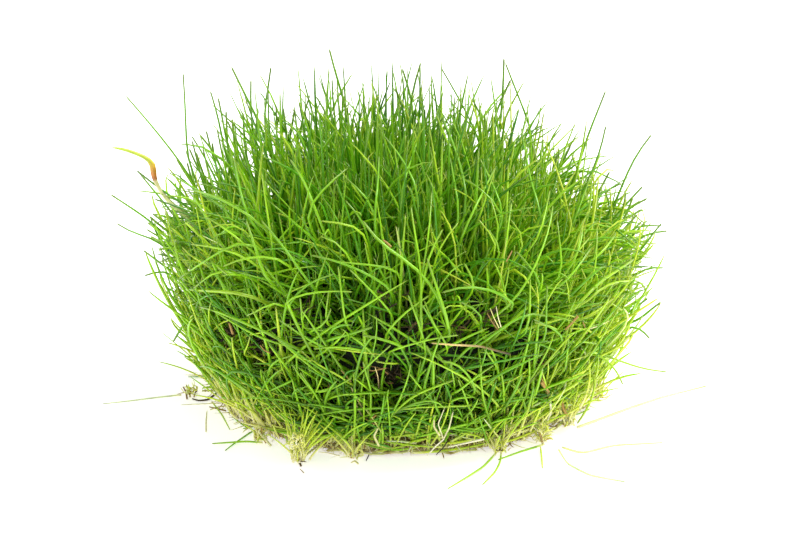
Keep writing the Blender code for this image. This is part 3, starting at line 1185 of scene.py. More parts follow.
@dataclass(frozen=True)
class Greens:
    """How the tone of the cushion's leaves changes over it.

    It grows with the square of the place: from the middle to both flanks, to the right one
    besides and to the back. The gain to the right is painted light, where the key light falls
    from that side. The gain to the flanks is partly their own paler green and partly painted
    light, where the light wraps round the clump's edges. Spread is each leaf's own, and plantlets
    how much one plantlet differs from the next. Fresh is the share of newer, lighter leaves and
    gain how much lighter they are.
    """

    middle: float = 0.32
    flanks: float = 0.26
    right: float = 0.33
    back: float = 0.16
    spread: float = 0.075
    plantlets: float = 0.06
    fresh: float = 0.16
    gain: float = 0.13
    limits: Span = (0.02, 0.63)

    def draw(self, places: np.ndarray, rng: Generator) -> np.ndarray:
        """Draws each leaf's tone.

        Args:
            places: Where each roots, as a share of the mat's radius.
            rng: What it is drawn with.

        Returns:
            The tones.
        """
        across, deep = places.T
        # Painted light: lighter to the right, where the key light falls, and partly so at both
        # flanks
        tones = self.middle + self.flanks * across**2 + self.right * np.maximum(across, 0) ** 2
        tones = tones + self.back * np.maximum(deep, 0) ** 2
        tones = tones + rng.normal(0, self.spread, len(places))
        tones[rng.random(len(places)) < self.fresh] += self.gain
        return np.clip(tones, *self.limits)


@dataclass
class TuftField:
    """The tufts of the cushion, in rings, each a mesh of thread leaves on many crowns.

    The rings have a narrow slot at one angle, which the solids have too. Vigour is how tall a
    plantlet's leaves are, scatter how far apart they root, and flank how far to the side, as a
    cosine, the outer tufts have the pale feet of the flanks.
    """

    cushion: Cushion
    thread: Thread
    finishes: Finishes
    rng: Generator
    face: Face
    half_depth: float = 4.2 * MM
    gap: float = 0.5 * MM
    slot: float = math.radians(4)
    slot_angle: float = math.radians(180)
    leaves_a_crown: int = 9
    vigour: Span = (0.86, 1.12)
    scatter: float = 0.35 * MM
    edge: float = 0.99
    flank: float = 0.6
    greens: Greens = Greens()
    centre: Ring = Ring("centre", 0.0, 1, 190, (0.66, 0.22, 0.07, 0.05, 0.0))
    rings: tuple[Ring, ...] = (
        Ring("inner", 8.8 * MM, 5, 205, (0.66, 0.22, 0.07, 0.05, 0.0)),
        Ring("middle", 17.6 * MM, 11, 235, (0.52, 0.32, 0.12, 0.04, 0.0)),
        Ring("outer", 26.4 * MM, 15, 385, (0.12, 0.52, 0.31, 0.02, 0.03)),
    )

    def build(self) -> None:
        """Builds the tuft on the axis and the rings."""
        self.tuft("tuft_centre", self.centre, 0.0, math.pi)
        for ring in self.rings:
            spacing = (math.tau - self.slot) / ring.count
            half_turn = spacing / 2 - self.gap / 2 / (ring.distance - self.half_depth / 2)
            for index in range(ring.count):
                angle = self.slot_angle + self.slot / 2 + spacing * (index + 0.5)
                self.tuft(f"tuft_{ring.name}_{index + 1:02d}", ring, angle, half_turn)

    def crowns(self, ring: Ring, angle: float, half_turn: float, count: int) -> np.ndarray:
        """Scatters crowns over a tuft's cell.

        Args:
            ring: The tuft's ring.
            angle: The angle of the cell's middle.
            half_turn: Half of the angle that it spans.
            count: How many crowns.

        Returns:
            Places on the mat, as (count, 2).
        """
        near = max(ring.distance - self.half_depth, 0.0)
        far = ring.distance + self.half_depth
        spread = (np.arange(count) + self.rng.uniform(0, 1, count)) / count
        distance = np.sqrt(near**2 + (far**2 - near**2) * spread)
        turns = angle + half_turn * self.rng.uniform(-1, 1, count)
        distance = np.minimum(distance, self.cushion.radius * self.edge)
        return np.stack([distance * np.cos(turns), distance * np.sin(turns)], axis=1)

    def tuft(self, name: str, ring: Ring, angle: float, half_turn: float) -> None:
        """Builds one tuft, in which each plantlet has its own height and its own green.

        Args:
            name: The name of the node that it stands for.
            ring: The tuft's ring.
            angle: The angle of its cell's middle.
            half_turn: Half of the angle that the cell spans.
        """
        rng, count, shares = self.rng, ring.leaves, self.thread.shares
        crowns = self.crowns(ring, angle, half_turn, count // self.leaves_a_crown + 1)

        def shared(values: np.ndarray) -> np.ndarray:
            """Gives each leaf what its plantlet has."""
            return np.repeat(values, self.leaves_a_crown, axis=0)[:count]

        places = shared(crowns)
        places = places + rng.normal(0, self.scatter, places.shape)
        vigour = shared(rng.uniform(*self.vigour, len(crowns)))
        own = shared(rng.normal(0, self.greens.plantlets, len(crowns)))
        habits = rng.choice(len(Habit), size=count, p=ring.mix)
        grower = Grower(self.cushion, shares, rng)
        spines, radii = np.empty((count, len(shares), 3)), np.empty(count)
        for index, habit in enumerate(Habit):
            chosen = habits == index
            level = 1.0 if habit is Habit.TALL else vigour[chosen]
            spines[chosen] = grower.grow(habit.value, places[chosen], level)
            radii[chosen] = rng.uniform(*habit.value.radius, int(chosen.sum())) * MM
        tones = self.greens.draw(places / self.cushion.radius, rng) + own
        stay = self.face.clear(spines, rng)
        piece = self.thread.sweep(f"{name}_leaves", spines[stay], radii[stay], tones[stay], rng)
        flank = ring is self.rings[-1] and abs(math.cos(angle)) > self.flank
        dress(piece, self.finishes.flank if flank else self.finishes.leaf, LEAF_SLOT, name)


def dress(piece: Object, material: Material, slot: str, *nodes: str) -> None:
    """Finishes a piece: its material, its body and the nodes that it stands for.

    Args:
        piece: The piece.
        material: Its material.
        slot: The record's slot for its finish; not used.
        nodes: The names of the nodes that it stands for.
    """
    piece.data.materials.clear()
    piece.data.materials.append(material)
    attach(piece, BODY)
    if nodes:
        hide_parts(*nodes)
    log.info("%s: %d faces", piece.name, len(piece.data.polygons))


@dataclass(frozen=True)
class TracedLeaf:
    """A leaf that stands out in the picture, from its tip to where it goes in among others.

    Its pixels are given. Depth is how deep in the scene it stands. A leaf without one lies
    on the cushion's face, or stands as far in front of it as its lift. Radius, depth and lift are
    in millimetres.
    """

    pixels: tuple[Span, ...]
    radius: float
    tone: float
    depth: float | None = None
    lift: float = 1.2
    flat: bool = False

    @classmethod
    def standing(cls, *rows: tuple) -> tuple["TracedLeaf", ...]:
        """Makes leaves from rows of a depth or None, a radius, a tone and the pixels."""
        return tuple(cls(tuple(line), radius, tone, at) for at, radius, tone, *line in rows)

    @classmethod
    def on_face(cls, *rows: tuple) -> tuple["TracedLeaf", ...]:
        """Makes leaves on the face from rows of a lift, a radius, a tone and the pixels."""
        return tuple(cls(tuple(line), radius, tone, None, at) for at, radius, tone, *line in rows)

    @classmethod
    def lying(cls, *rows: tuple) -> tuple["TracedLeaf", ...]:
        """Makes leaves flat on the surface from rows of a radius, a tone and the pixels."""
        return tuple(cls(tuple(line), radius, tone, flat=True) for radius, tone, *line in rows)


@dataclass(frozen=True)
class TracedBlade(TracedLeaf):
    """A leaf traced in the same way and only as long as it shows."""


@dataclass(frozen=True)
class TracedRoot(TracedBlade):
    """A root or an old sheath, traced as a blade."""


@dataclass
class TracedLeaves:
    """Single leaves that give the clump its outline and the lines that cross its face.

    A leaf goes on below what shows of it, to a root that lies inwards of the strand it joins by
    the share called inwards, and again by the share called dive where it lies on the face.
    """

    face: Face
    thread: Thread
    finishes: Finishes
    rng: Generator
    inwards: float = 0.86
    dive: float = 0.82
    floor: float = 0.4 * MM
    blade_floor: float = 1.3
    passes: int = 24
    blade_passes: int = 16

    def build(self, groups: dict[str, Sequence[TracedLeaf]]) -> None:
        """Builds each group as one piece.

        Args:
            groups: The leaves of each group, by the piece's name.
        """
        for name, leaves in groups.items():
            finish, slot = self.finishes.leaf, LEAF_SLOT
            if isinstance(leaves[0], TracedRoot):
                finish, slot = self.finishes.root, ROOT_SLOT
            elif isinstance(leaves[0], TracedBlade):
                finish = self.finishes.fallen if leaves[0].flat else self.finishes.blanched
            spines = np.array([self.spine(leaf) for leaf in leaves])
            radii = np.array([leaf.radius * MM for leaf in leaves])
            tones = np.array([leaf.tone for leaf in leaves])
            dress(self.thread.sweep(name, spines, radii, tones, self.rng), finish, slot)

    def spine(self, leaf: TracedLeaf) -> np.ndarray:
        """Finds a traced leaf's spine, down to its root on the mat.

        Args:
            leaf: The leaf.

        Returns:
            Its spine at the thread's shares.
        """
        points, depth, camera = [], 0.0, self.face.camera
        for pixel in leaf.pixels:
            if leaf.flat:
                points.append(camera.at(pixel, HEIGHT, leaf.radius * MM))
            elif leaf.depth is None:
                points.append(self.face.point(pixel, leaf.lift * MM, depth))
                depth = points[-1][DEPTH]
            else:
                points.append(camera.at(pixel, DEPTH, leaf.depth * MM))
        points.reverse()
        if isinstance(leaf, TracedBlade):
            spine = flow(np.array(points), self.thread.shares, self.blade_passes)
            spine[:, 2] = np.maximum(spine[:, 2], self.blade_floor * leaf.radius * MM)
            return spine
        cushion = self.face.cushion
        place, along = cushion.root_of(points[0])
        root = place * self.inwards * (self.dive if leaf.depth is None else 1.0)
        below = [cushion.strand(root, np.array(along * share)) for share in (0.0, 0.5)]
        spine = flow(np.array([*below, *points]), self.thread.shares, self.passes)
        spine[:, 2] = np.maximum(spine[:, 2], self.floor)
        return spine


@dataclass
class RootMat:
    """The felted disc of roots that all grows from, the dark wad on it, which is old growth painted
    near black as shade, and the roots at its rim.

    The pieces that root at the rim take up the angles called taken, in degrees, and the trailing
    roots keep the clearance from them. The ranges for the fibres on the felt are in millimetres,
    apart from how far round the mat they run, which is in radians.
    """

    cushion: Cushion
    thread: Thread
    finishes: Finishes
    rng: Generator
    taken: tuple[float, ...]
    sides: int = 120
    rows: int = 5
    rings: int = 10
    fibres: int = 1500
    fibre_run: float = 0.075
    fibre_ends: Span = (0.2, 4.2)
    fibre_waves: Span = (0.1, 0.7)
    fibre_stands: Span = (-0.1, 0.7)
    fibre_radii: Span = (0.05, 0.13)
    fibre_tones: Span = (0.64, 0.20)
    rim_roots: int = 17
    strands: int = 4
    root_radius: float = 0.20 * MM
    root_reach: float = 6.5 * MM
    root_start: float = 2 * MM
    root_rise: float = 1.8 * MM
    root_tones: Span = (0.72, 0.98)
    clearance: float = 6.5

    def build(self) -> None:
        """Builds the felt, the dark wad of old growth and painted shade, the fibres on the felt and
        the trailing roots.
        """
        felt, thatch_shade = self.disc("root_mat_felt"), self.disc("thatch_shade")
        self.shape_felt(felt)
        self.shape_thatch(thatch_shade)
        dress(felt, self.finishes.felt, ROOT_SLOT, "root_mat")
        # The wad's near-black colour is painted shade deep in the cushion, over old leaves and
        # roots
        dress(thatch_shade, self.finishes.thatch_shade, ROOT_SLOT)
        dress(self.felt_fibres(), self.finishes.root, ROOT_SLOT)
        dress(self.trailing_roots(), self.finishes.root, ROOT_SLOT)

    def disc(self, name: str) -> Object:
        """Models a disc a unit in radius and height, cut in rows at its side and rings on top.

        Args:
            name: The piece's name.

        Returns:
            The disc, standing on the surface.
        """
        deselect()
        bpy.ops.mesh.primitive_cylinder_add(
            vertices=self.sides, radius=1, depth=1, location=(0, 0, 0.5)
        )
        disc = bpy.context.object
        disc.name = name
        bpy.ops.object.transform_apply(location=True, rotation=True, scale=True)
        bpy.ops.object.mode_set(mode="EDIT")
        for row in range(1, self.rows):
            bpy.ops.mesh.select_all(action="SELECT")
            bpy.ops.mesh.bisect(plane_co=(0, 0, row / self.rows), plane_no=(0, 0, 1))
        select_top(disc)
        for _ in range(self.rings - 1):
            bpy.ops.mesh.inset(thickness=1 / self.rings, depth=0)
        bpy.ops.mesh.poke()
        bpy.ops.object.mode_set(mode="OBJECT")
        return disc

    def shape_felt(self, felt: Object) -> None:
        """Bends the disc to the mat's lumpy rim and domed, uneven top.

        Args:
            felt: The disc.
        """
        for vertex in felt.data.vertices:
            share, angle = vertex.co.to_2d().length, math.atan2(vertex.co.y, vertex.co.x)
            up = vertex.co.z
            bulge = 0.965 + 0.035 * math.sin(math.pi * min(up, 0.85) / 0.85)
            rough = 1 + 0.012 * noise.noise(vertex.co * 9.0) * (up > 0)
            distance = share * self.cushion.rim(angle) * (bulge * rough if share > 0.9 else 1.0)
            top = float(self.cushion.mat_top(share * self.cushion.radius))
            pit = 0.5 * MM * abs(noise.noise(vertex.co * 7.0)) if up > 0.9 else 0.0
            vertex.co = self.cushion.on_ring(distance, angle, top * up - pit)
        felt.data.shade_smooth()

    def shape_thatch(self, thatch_shade: Object) -> None:
        """Bends the disc to the dark wad that fills the foot of the cushion, which stands for old
        growth and the shade deep among the leaves.

        Args:
            thatch_shade: The disc.
        """
        for vertex in thatch_shade.data.vertices:
            share, angle = vertex.co.to_2d().length, math.atan2(vertex.co.y, vertex.co.x)
            heading = np.array([math.cos(angle), math.sin(angle)])
            place = heading * share * 0.90 * self.cushion.radius
            wad = 0.46 + 0.16 * noise.noise(vertex.co * 5.0) + 0.10 * noise.noise(vertex.co * 13.0)
            along = vertex.co.z * wad * float(self.cushion.length_at(place))
            vertex.co = self.cushion.strand(place, np.array(along))
        thatch_shade.data.shade_smooth()

    def felt_fibres(self) -> Object:
        """Mats fine roots over the side of the felt, each running a little way round it.

        Returns:
            The fibres' piece.
        """
        rng, shares = self.rng, self.thread.shares
        spines = np.empty((self.fibres, len(shares), 3))
        for fibre in range(self.fibres):
            angle, run = rng.uniform(0, math.tau), rng.normal(0, self.fibre_run)
            start, end = rng.uniform(*self.fibre_ends, 2) * MM
            wave, phase = rng.uniform(*self.fibre_waves) * MM, rng.uniform(0, math.tau)
            stand = rng.uniform(*self.fibre_stands) * MM
            for k, share in enumerate(shares):
                turn = angle + run * share
                height = start + (end - start) * share + wave * math.sin(phase + 6 * share)
                out = self.cushion.rim(turn) * (1.0 - 0.03 * abs(height / MM - 1.7) / 1.7)
                distance = out + stand + wave * math.cos(phase + 7 * share)
                spines[fibre, k] = self.cushion.on_ring(distance, turn, max(height, 0.2 * MM))
        radii = rng.uniform(*self.fibre_radii, self.fibres) * MM
        tones = np.clip(rng.normal(*self.fibre_tones, self.fibres), 0.1, 0.98)
        return self.thread.sweep("root_mat_fibres", spines, radii, tones, rng)

    def trailing_roots(self) -> Object:
        """Trails bundles of roots from the rim onto the surface, clear of what else roots there.

        Returns:
            The roots' piece.
        """
        rng, shares, draw = self.rng, self.thread.shares, random.Random(SOLID_SEED)
        spines, radii, tones = [], [], []
        for index in range(self.rim_roots):
            degrees = 360 * (index + draw.uniform(-0.25, 0.25)) / self.rim_roots
            apart = min(abs((degrees - other + 180) % 360 - 180) for other in self.taken)
            if apart < self.clearance:
                continue
            reach, sweep = self.root_reach * draw.uniform(0.4, 1.0), draw.uniform(-0.08, 0.08)
            # The first strand is the solid's own root, and the others stray from it
            for strand in range(self.strands):
                angle = math.radians(degrees) + (rng.normal(0, 0.012) if strand else 0.0)
                far = reach * (rng.uniform(0.5, 1.0) if strand else 1.0)
                curl = sweep + (rng.normal(0, 0.05) if strand else 0.0)
                radius = self.root_radius * (rng.uniform(0.35, 0.6) if strand else 1.0)
                row, start = [], self.cushion.rim(angle) - self.root_start
                for share in shares:
                    distance = start + (self.root_start + far) * share
                    height = max(self.root_rise * (1 - share) ** 2, radius + 0.1 * MM)
                    row.append(self.cushion.on_ring(distance, angle + curl * share**2, height))
                spines.append(row)
                radii.append(radius)
                tones.append(rng.uniform(*self.root_tones))
        arrays = (np.array(x) for x in (spines, radii, tones))
        return self.thread.sweep("trailing_roots", *arrays, rng)


@dataclass
class OldGrowth:
    """Dead leaf bases and brown roots, bunched where the face has hollows.

    Spread is how far from the hollow's middle they are, in pixels for each millimetre of its
    radius. Lengths and radii are in millimetres, and bright is the share of paler ones.
    """

    face: Face
    thread: Thread
    finishes: Finishes
    rng: Generator
    threads: int = 3
    spread: float = 2.6
    sunk: Span = (3.0 * MM, 7.0 * MM)
    aims: tuple[float, float, float] = (1, 0.5, 0.7)
    lengths: Span = (1.5, 4.5)
    curl: float = 0.6
    radii: Span = (0.06, 0.16)
    dark: Span = (0.01, 0.19)
    bright: float = 0.08
    bright_tone: float = 0.45

    def build(self) -> None:
        """Builds all of it as one piece."""
        rng, controls = self.rng, []
        for hollow in self.face.hollows:
            for _ in range(hollow.old * self.threads):
                spot = np.array(hollow.pixel) + rng.normal(0, self.spread * hollow.radius, 2)
                start = self.face.point(tuple(spot), -rng.uniform(*self.sunk))
                heading = unit(rng.normal(0, 1, 3) * self.aims)
                length, curl = rng.uniform(*self.lengths) * MM, rng.normal(0, self.curl, 3)
                steps = (-0.5, -0.15, 0.2, 0.5)
                controls.append([start + length * t * (heading + curl * t) for t in steps])
        spines = curves(np.array(controls), self.thread.shares)
        count = len(spines)
        radii = rng.uniform(*self.radii, count) * MM
        bright = rng.random(count) < self.bright
        tones = np.where(bright, self.bright_tone, rng.uniform(*self.dark, count))
        piece = self.thread.sweep("old_growth", spines, radii, tones, rng)
        dress(piece, self.finishes.root, ROOT_SLOT)


@dataclass
class RimPlantlets:
    """The outermost crowns on the mat's rim: fat blanched leaf bases and brown scales.

    A crown stands a little off the rim and has dropped some way down its side. Small leaves also
    root low on the mat's side, and others lie along it. Ranges are in millimetres, apart from
    tones and angles, which are in radians or, for the scales' lean, in degrees.
    """

    cushion: Cushion
    leaf: Thread
    root: Thread
    finishes: Finishes
    rng: Generator
    face: Face
    sectors: int = 6
    crowns: int = 24
    leaves: int = 7
    habits: tuple[Growth, ...] = (
        Growth(
            (4, 46), (-60, 90), 80, (0, 180), (0.18, 0.70), (0.98, 1.05), (1.1, 1.2), (0.12, 0.25)
        ),
        Growth(
            (15, 70), (-60, 120), 100, (0, 160), (0.18, 0.75), (1.0, 1.07), (1.0, 1.1), (0.11, 0.23)
        ),
    )
    first_habit: float = 0.6
    stand_offs: Span = (-1.6, 0.3)
    drops: Span = (0.4, 3.2)
    scatter: float = 0.25
    flank: float = 0.5
    tone: float = 0.41
    flank_tone: float = 0.22
    tone_spread: float = 0.09
    low_crowns: int = 13
    low_leaves: int = 6
    low_lengths: Span = (4, 14)
    low_radii: Span = (0.12, 0.24)
    low_tones: Span = (0.56, 0.13)
    lying: int = 12
    lying_runs: Span = (0.15, 0.55)
    scales: int = 4
    scale_leans: Span = (90, 170)
    scale_lengths: Span = (1.2, 3.6)
    scale_radii: Span = (0.05, 0.13)
    scale_tones: Span = (0.74, 0.2)

    def build(self) -> None:
        """Builds the rim in sectors, each as one piece of leaves and one of scales and roots."""
        for sector in range(self.sectors):
            self.sector(sector)

    def sector(self, sector: int) -> None:
        """Builds one sector of the rim.

        Args:
            sector: Which one, counted round from the right.
        """
        rng, count, name = self.rng, self.crowns, sector + 1
        steps = (np.arange(count) + rng.uniform(0.1, 0.9, count)) / count
        angles = (sector + steps) * math.tau / self.sectors
        rims = np.array([self.cushion.rim(angle) for angle in angles])
        distances = rims + rng.uniform(*self.stand_offs, count) * MM
        drops = rng.uniform(*self.drops, count) * MM
        spines, radii, tones = self.crown_leaves(angles, distances, drops)
        low = [self.low_leaf(sector) for _ in range(self.low_crowns * self.low_leaves)]
        low += [self.lying_leaf(sector) for _ in range(self.lying)]
        spines = np.concatenate([spines, low])
        radii = np.concatenate([radii, rng.uniform(*self.low_radii, len(low)) * MM])
        low_tones = np.clip(rng.normal(*self.low_tones, len(low)), 0.15, 0.80)
        tones, stay = np.concatenate([tones, low_tones]), self.face.clear(spines, rng)
        leaves = self.leaf.sweep(f"rim_leaves_{name}", spines[stay], radii[stay], tones[stay], rng)
        feet = []
        for angle, distance, drop in zip(angles, distances, drops):
            height = max(3.2 * MM - drop, 0.4 * MM)
            crown = self.cushion.on_ring(distance + 0.4 * MM, angle, height)
            for _ in range(self.scales):
                lean = math.radians(rng.uniform(*self.scale_leans))
                length = rng.uniform(*self.scale_lengths) * MM
                heading, bend = angle + rng.normal(0, 0.9), rng.uniform(-0.4, 0.8)
                feet.append(self.root.arc(crown, heading, lean, bend, length))
        radii = rng.uniform(*self.scale_radii, len(feet)) * MM
        tones = np.clip(rng.normal(*self.scale_tones, len(feet)), 0.3, 0.98)
        scales = self.root.sweep(f"rim_scales_{name}", np.array(feet), radii, tones, rng)
        flank = abs(math.cos((sector + 0.5) * math.tau / self.sectors)) > self.flank
        finish = self.finishes.blanched if flank else self.finishes.shaded
        dress(leaves, finish, LEAF_SLOT)
        dress(scales, self.finishes.root, ROOT_SLOT)

    def crown_leaves(
        self, angles: np.ndarray, distances: np.ndarray, drops: np.ndarray
    ) -> tuple[np.ndarray, np.ndarray, np.ndarray]:
        """Grows the leaves of crowns, whose feet go down as far as the crowns have dropped.

        Args:
            angles: Each crown's angle round the mat.
            distances: How far out it is.
            drops: How far down the mat's side it is.

        Returns:
            The leaves' spines, radii and tones.
        """
        rng, shares = self.rng, self.leaf.shares
        crowns = distances[:, None] * np.stack([np.cos(angles), np.sin(angles)], axis=1)
        places = np.repeat(crowns, self.leaves, axis=0)
        places = places + rng.normal(0, self.scatter * MM, places.shape)
        grower, count = Grower(self.cushion, shares, rng), len(places)
        chosen = rng.random(count) < self.first_habit
        spines, radii = np.empty((count, len(shares), 3)), np.empty(count)
        for habit, of_it in zip(self.habits, (chosen, ~chosen)):
            spines[of_it] = grower.grow(habit, places[of_it])
            radii[of_it] = rng.uniform(*habit.radius, int(of_it.sum())) * MM
        spines[..., 2] -= np.repeat(drops, self.leaves)[:, None] * (1 - shares) ** 2
        spines[..., 2] = np.maximum(spines[..., 2], 0.5 * MM)
        flank = (places[:, 0] / self.cushion.radius) ** 2
        tones = self.tone + self.flank_tone * flank + rng.normal(0, self.tone_spread, count)
        return spines, radii, np.clip(tones, 0.1, 0.74)

    def low_leaf(self, sector: int) -> np.ndarray:
        """Draws one small leaf that roots low on the mat's side.

        Args:
            sector: The sector that it is in.

        Returns:
            Its spine.
        """
        rng = self.rng
        step = rng.integers(self.low_crowns) / self.low_crowns
        angle = (sector + step) * math.tau / self.sectors
        angle += rng.normal(0, 0.012)
        foot = self.cushion.rim(angle) + rng.uniform(0.1, 0.6) * MM
        crown = self.cushion.on_ring(foot, angle, rng.uniform(0.4, 1.8) * MM)
        lean, bend = math.radians(rng.uniform(-20, 50)), rng.uniform(-0.6, 0.7)
        heading, length = angle + rng.normal(0, 0.9), rng.uniform(*self.low_lengths) * MM
        return self.leaf.arc(crown, heading, lean, bend, length)

    def lying_leaf(self, sector: int) -> np.ndarray:
        """Draws one leaf that lies along the mat's side and rises or sinks a little on its way.

        Args:
            sector: The sector that it sets off in.

        Returns:
            Its spine.
        """
        rng, row = self.rng, []
        first = (sector + rng.random()) * math.tau / self.sectors
        run = rng.choice((-1, 1)) * rng.uniform(*self.lying_runs)
        low, high = rng.uniform(0.5, 3.4) * MM, rng.uniform(0.5, 4.4) * MM
        sag, stand = rng.uniform(-1.0, 0.8) * MM, rng.uniform(0.3, 1.0) * MM
        for share in self.leaf.shares:
            angle = first + run * share
            height = low + (high - low) * share + sag * math.sin(math.pi * share)
            distance = self.cushion.rim(angle) + stand + 1.2 * MM * share * (1 - share)
            row.append(self.cushion.on_ring(distance, angle, max(height, FLOOR)))
        return np.array(row)


@dataclass(frozen=True)
class Daughter:
    """A daughter plantlet: where it roots round the mat, its size in millimetres and its lean.

    Turn is how far from straight outwards its leaves lean. Threads is how many fine young leaves
    and sheaths ball its crown. One that stands for no node isn't solid.
    """

    name: str
    degrees: float
    stand_off: float
    length: float
    lean: float
    leaves: int = 12
    tone: float = 0.62
    turn: float = 0.0
    threads: int = 18
    solid: bool = True


@dataclass
class Daughters:
    """The small plantlets that root on the surface outside the mat.

    Radii and the lengths of threads and scales are in millimetres.
    """

    rim: RimPlantlets
    plantlets: tuple[Daughter, ...]
    half_width: float = 1.9 * MM
    radii: Span = (0.11, 0.20)
    tone_spread: float = 0.07
    thread_lengths: Span = (0.9, 2.6)
    thread_radii: Span = (0.08, 0.16)
    thread_tones: Span = (0.05, 0.95)
    scales: int = 7
    scale_lengths: Span = (0.5, 1.4)
    scale_radii: Span = (0.08, 0.20)
    scale_tones: tuple[float, ...] = (0.2, 0.33, 0.38, 0.85, 0.95)

    def distance(self, angle: float, stand_off: float) -> float:
        """Gives how far from the mat's axis a plantlet roots."""
        return self.rim.cushion.rim(angle) + self.rim.cushion.gap + self.half_width + stand_off

    def build(self) -> None:
        """Builds each plantlet's leaves, its ball of young threads and its crown of scales."""
        rng, rim = self.rim.rng, self.rim
        for plantlet in self.plantlets:
            node, angle = f"daughter_plantlet_{plantlet.name}", math.radians(plantlet.degrees)
            centre = self.distance(angle, plantlet.stand_off * MM)
            blades, threads, scales = [], [], []
            for _ in range(plantlet.leaves):
                spot = rng.normal(0, 0.22, 2) * self.half_width
                crown = rim.cushion.on_ring(centre + spot[0], angle + spot[1] / centre, 0.5 * MM)
                lean = math.radians(plantlet.lean + rng.normal(0, 14))
                length = plantlet.length * MM * rng.uniform(0.5, 1.15)
                heading = angle + math.radians(plantlet.turn) + rng.normal(0, 1.1)
                blades.append(rim.leaf.arc(crown, heading, lean, rng.uniform(-0.3, 0.7), length))
            for _ in range(plantlet.threads):
                height = rng.uniform(0.3, 0.4 + 0.05 * plantlet.threads) * MM
                crown = self.strewn(centre, angle, height, 0.42)
                lean = math.radians(rng.uniform(-20, 130))
                length, bend = rng.uniform(*self.thread_lengths) * MM, rng.uniform(-4.0, 4.0)
                threads.append(rim.leaf.arc(crown, rng.uniform(0, math.tau), lean, bend, length))
            for _ in range(self.scales):
                crown, lean = self.strewn(centre, angle, 0.6 * MM, 0.5), rng.uniform(20, 120)
                length, heading = rng.uniform(*self.scale_lengths) * MM, rng.uniform(0, math.tau)
                scales.append(rim.root.arc(crown, heading, math.radians(lean), 0.4, length))
            radii = rng.uniform(*self.radii, len(blades)) * MM
            tones = rng.normal(plantlet.tone, self.tone_spread, len(blades))
            tones = np.clip(tones, 0.3, 0.80)
            leaves = rim.leaf.sweep(f"{node}_leaves", np.array(blades), radii, tones, rng)
            radii = rng.uniform(*self.thread_radii, len(threads)) * MM
            tones = rng.uniform(*self.thread_tones, len(threads))
            young = rim.leaf.sweep(f"{node}_young", np.array(threads), radii, tones, rng)
            radii = rng.uniform(*self.scale_radii, len(scales)) * MM
            tones = rng.choice(self.scale_tones, len(scales))
            crown = rim.root.sweep(f"{node}_crown", np.array(scales), radii, tones, rng)
            dress(leaves, rim.finishes.blanched, YOUNG_SLOT, *((node,) if plantlet.solid else ()))
            dress(young, rim.finishes.young, YOUNG_SLOT)
            dress(crown, rim.finishes.root, YOUNG_SLOT)

    def strewn(self, centre: float, angle: float, height: float, spread: float) -> np.ndarray:
        """Draws where a thread or a scale leaves its plantlet, a spread of millimetres round it."""
        foot = self.rim.cushion.on_ring(centre, angle, height)
        return foot + self.rim.rng.normal(0, spread, 3) * (MM, MM, 0)


@dataclass(frozen=True)
class FallenLeaf:
    """A leaf that lies flat on the surface: its points across it and radius, in millimetres."""

    name: str
    points: tuple[Span, ...]
    tone: float
    radius: float = 0.17


@dataclass(frozen=True)
class FallenLeaves:
    """The leaves that lie flat on the surface round the clump."""

    thread: Thread
    finishes: Finishes
    rng: Generator
    height: float = 0.5 * MM
    passes: int = 20

    def build(self, leaves: Sequence[FallenLeaf]) -> None:
        """Builds each leaf as a piece of its own.

        Args:
            leaves: The leaves.
        """
        for leaf in leaves:
            line = np.array([(*point, 0.0) for point in leaf.points]) * MM
            spine = flow(line, self.thread.shares, self.passes)
            spine[:, 2] = self.height
            name, radii = f"fallen_leaf_{leaf.name}", np.array([leaf.radius * MM])
            tones = np.array([leaf.tone])
            piece = self.thread.sweep(f"{name}_blade", spine[None], radii, tones, self.rng)
            dress(piece, self.finishes.fallen, YOUNG_SLOT, name)


@dataclass
class Runners:
    """The pale stolons at the mat's foot, with a swollen joint every few millimetres.

    Each waves a little from side to side and up and down, at two rates to the turn. The solids
    that they stand for are thicker, and keep the clearance from the surface.
    """

    cushion: Cushion
    daughters: Daughters
    thread: Thread
    finishes: Finishes
    rng: Generator
    radius: float = 0.19 * MM
    wave: float = 0.3 * MM
    side_waves: int = 19
    up_waves: int = 31
    clearance: float = 0.15 * MM
    solid_radius: float = 0.5 * MM

    def build(self, arcs: dict[str, Span], spokes: dict[str, Daughter]) -> None:
        """Builds the arcs that hug the rim, and the spokes out to the far plantlets.

        Args:
            arcs: The first and last angle of each arc, in degrees.
            spokes: The plantlet that each spoke runs to.
        """
        height, shares = self.solid_radius + self.clearance, self.thread.shares
        for name, (first, last) in arcs.items():
            row = []
            for share in shares:
                angle = math.radians(first + (last - first) * share)
                wave = self.wave * math.sin(self.side_waves * angle + 2.0)
                distance = self.cushion.rim(angle) + self.cushion.gap + self.solid_radius + wave
                rise = wave * math.cos(self.up_waves * angle)
                row.append(self.cushion.on_ring(distance, angle, height + rise))
            self.runner(name, np.array(row))
        for name, plantlet in spokes.items():
            angle = math.radians(plantlet.degrees)
            near = self.cushion.rim(angle) + self.cushion.gap
            centre = self.daughters.distance(angle, plantlet.stand_off * MM)
            run = centre - self.daughters.half_width - near
            row = [self.cushion.on_ring(near + run * share, angle, height) for share in shares]
            self.runner(name, np.array(row))

    def runner(self, name: str, spine: np.ndarray) -> None:
        """Builds one runner.

        Args:
            name: Its name among the runners.
            spine: Its points at the thread's shares.
        """
        radii, tones = np.array([self.radius]), np.array([0.5])
        piece = self.thread.sweep(f"runner_{name}_stolon", spine[None], radii, tones, self.rng)
        dress(piece, self.finishes.stolon, STEM_SLOT, f"runner_{name}")


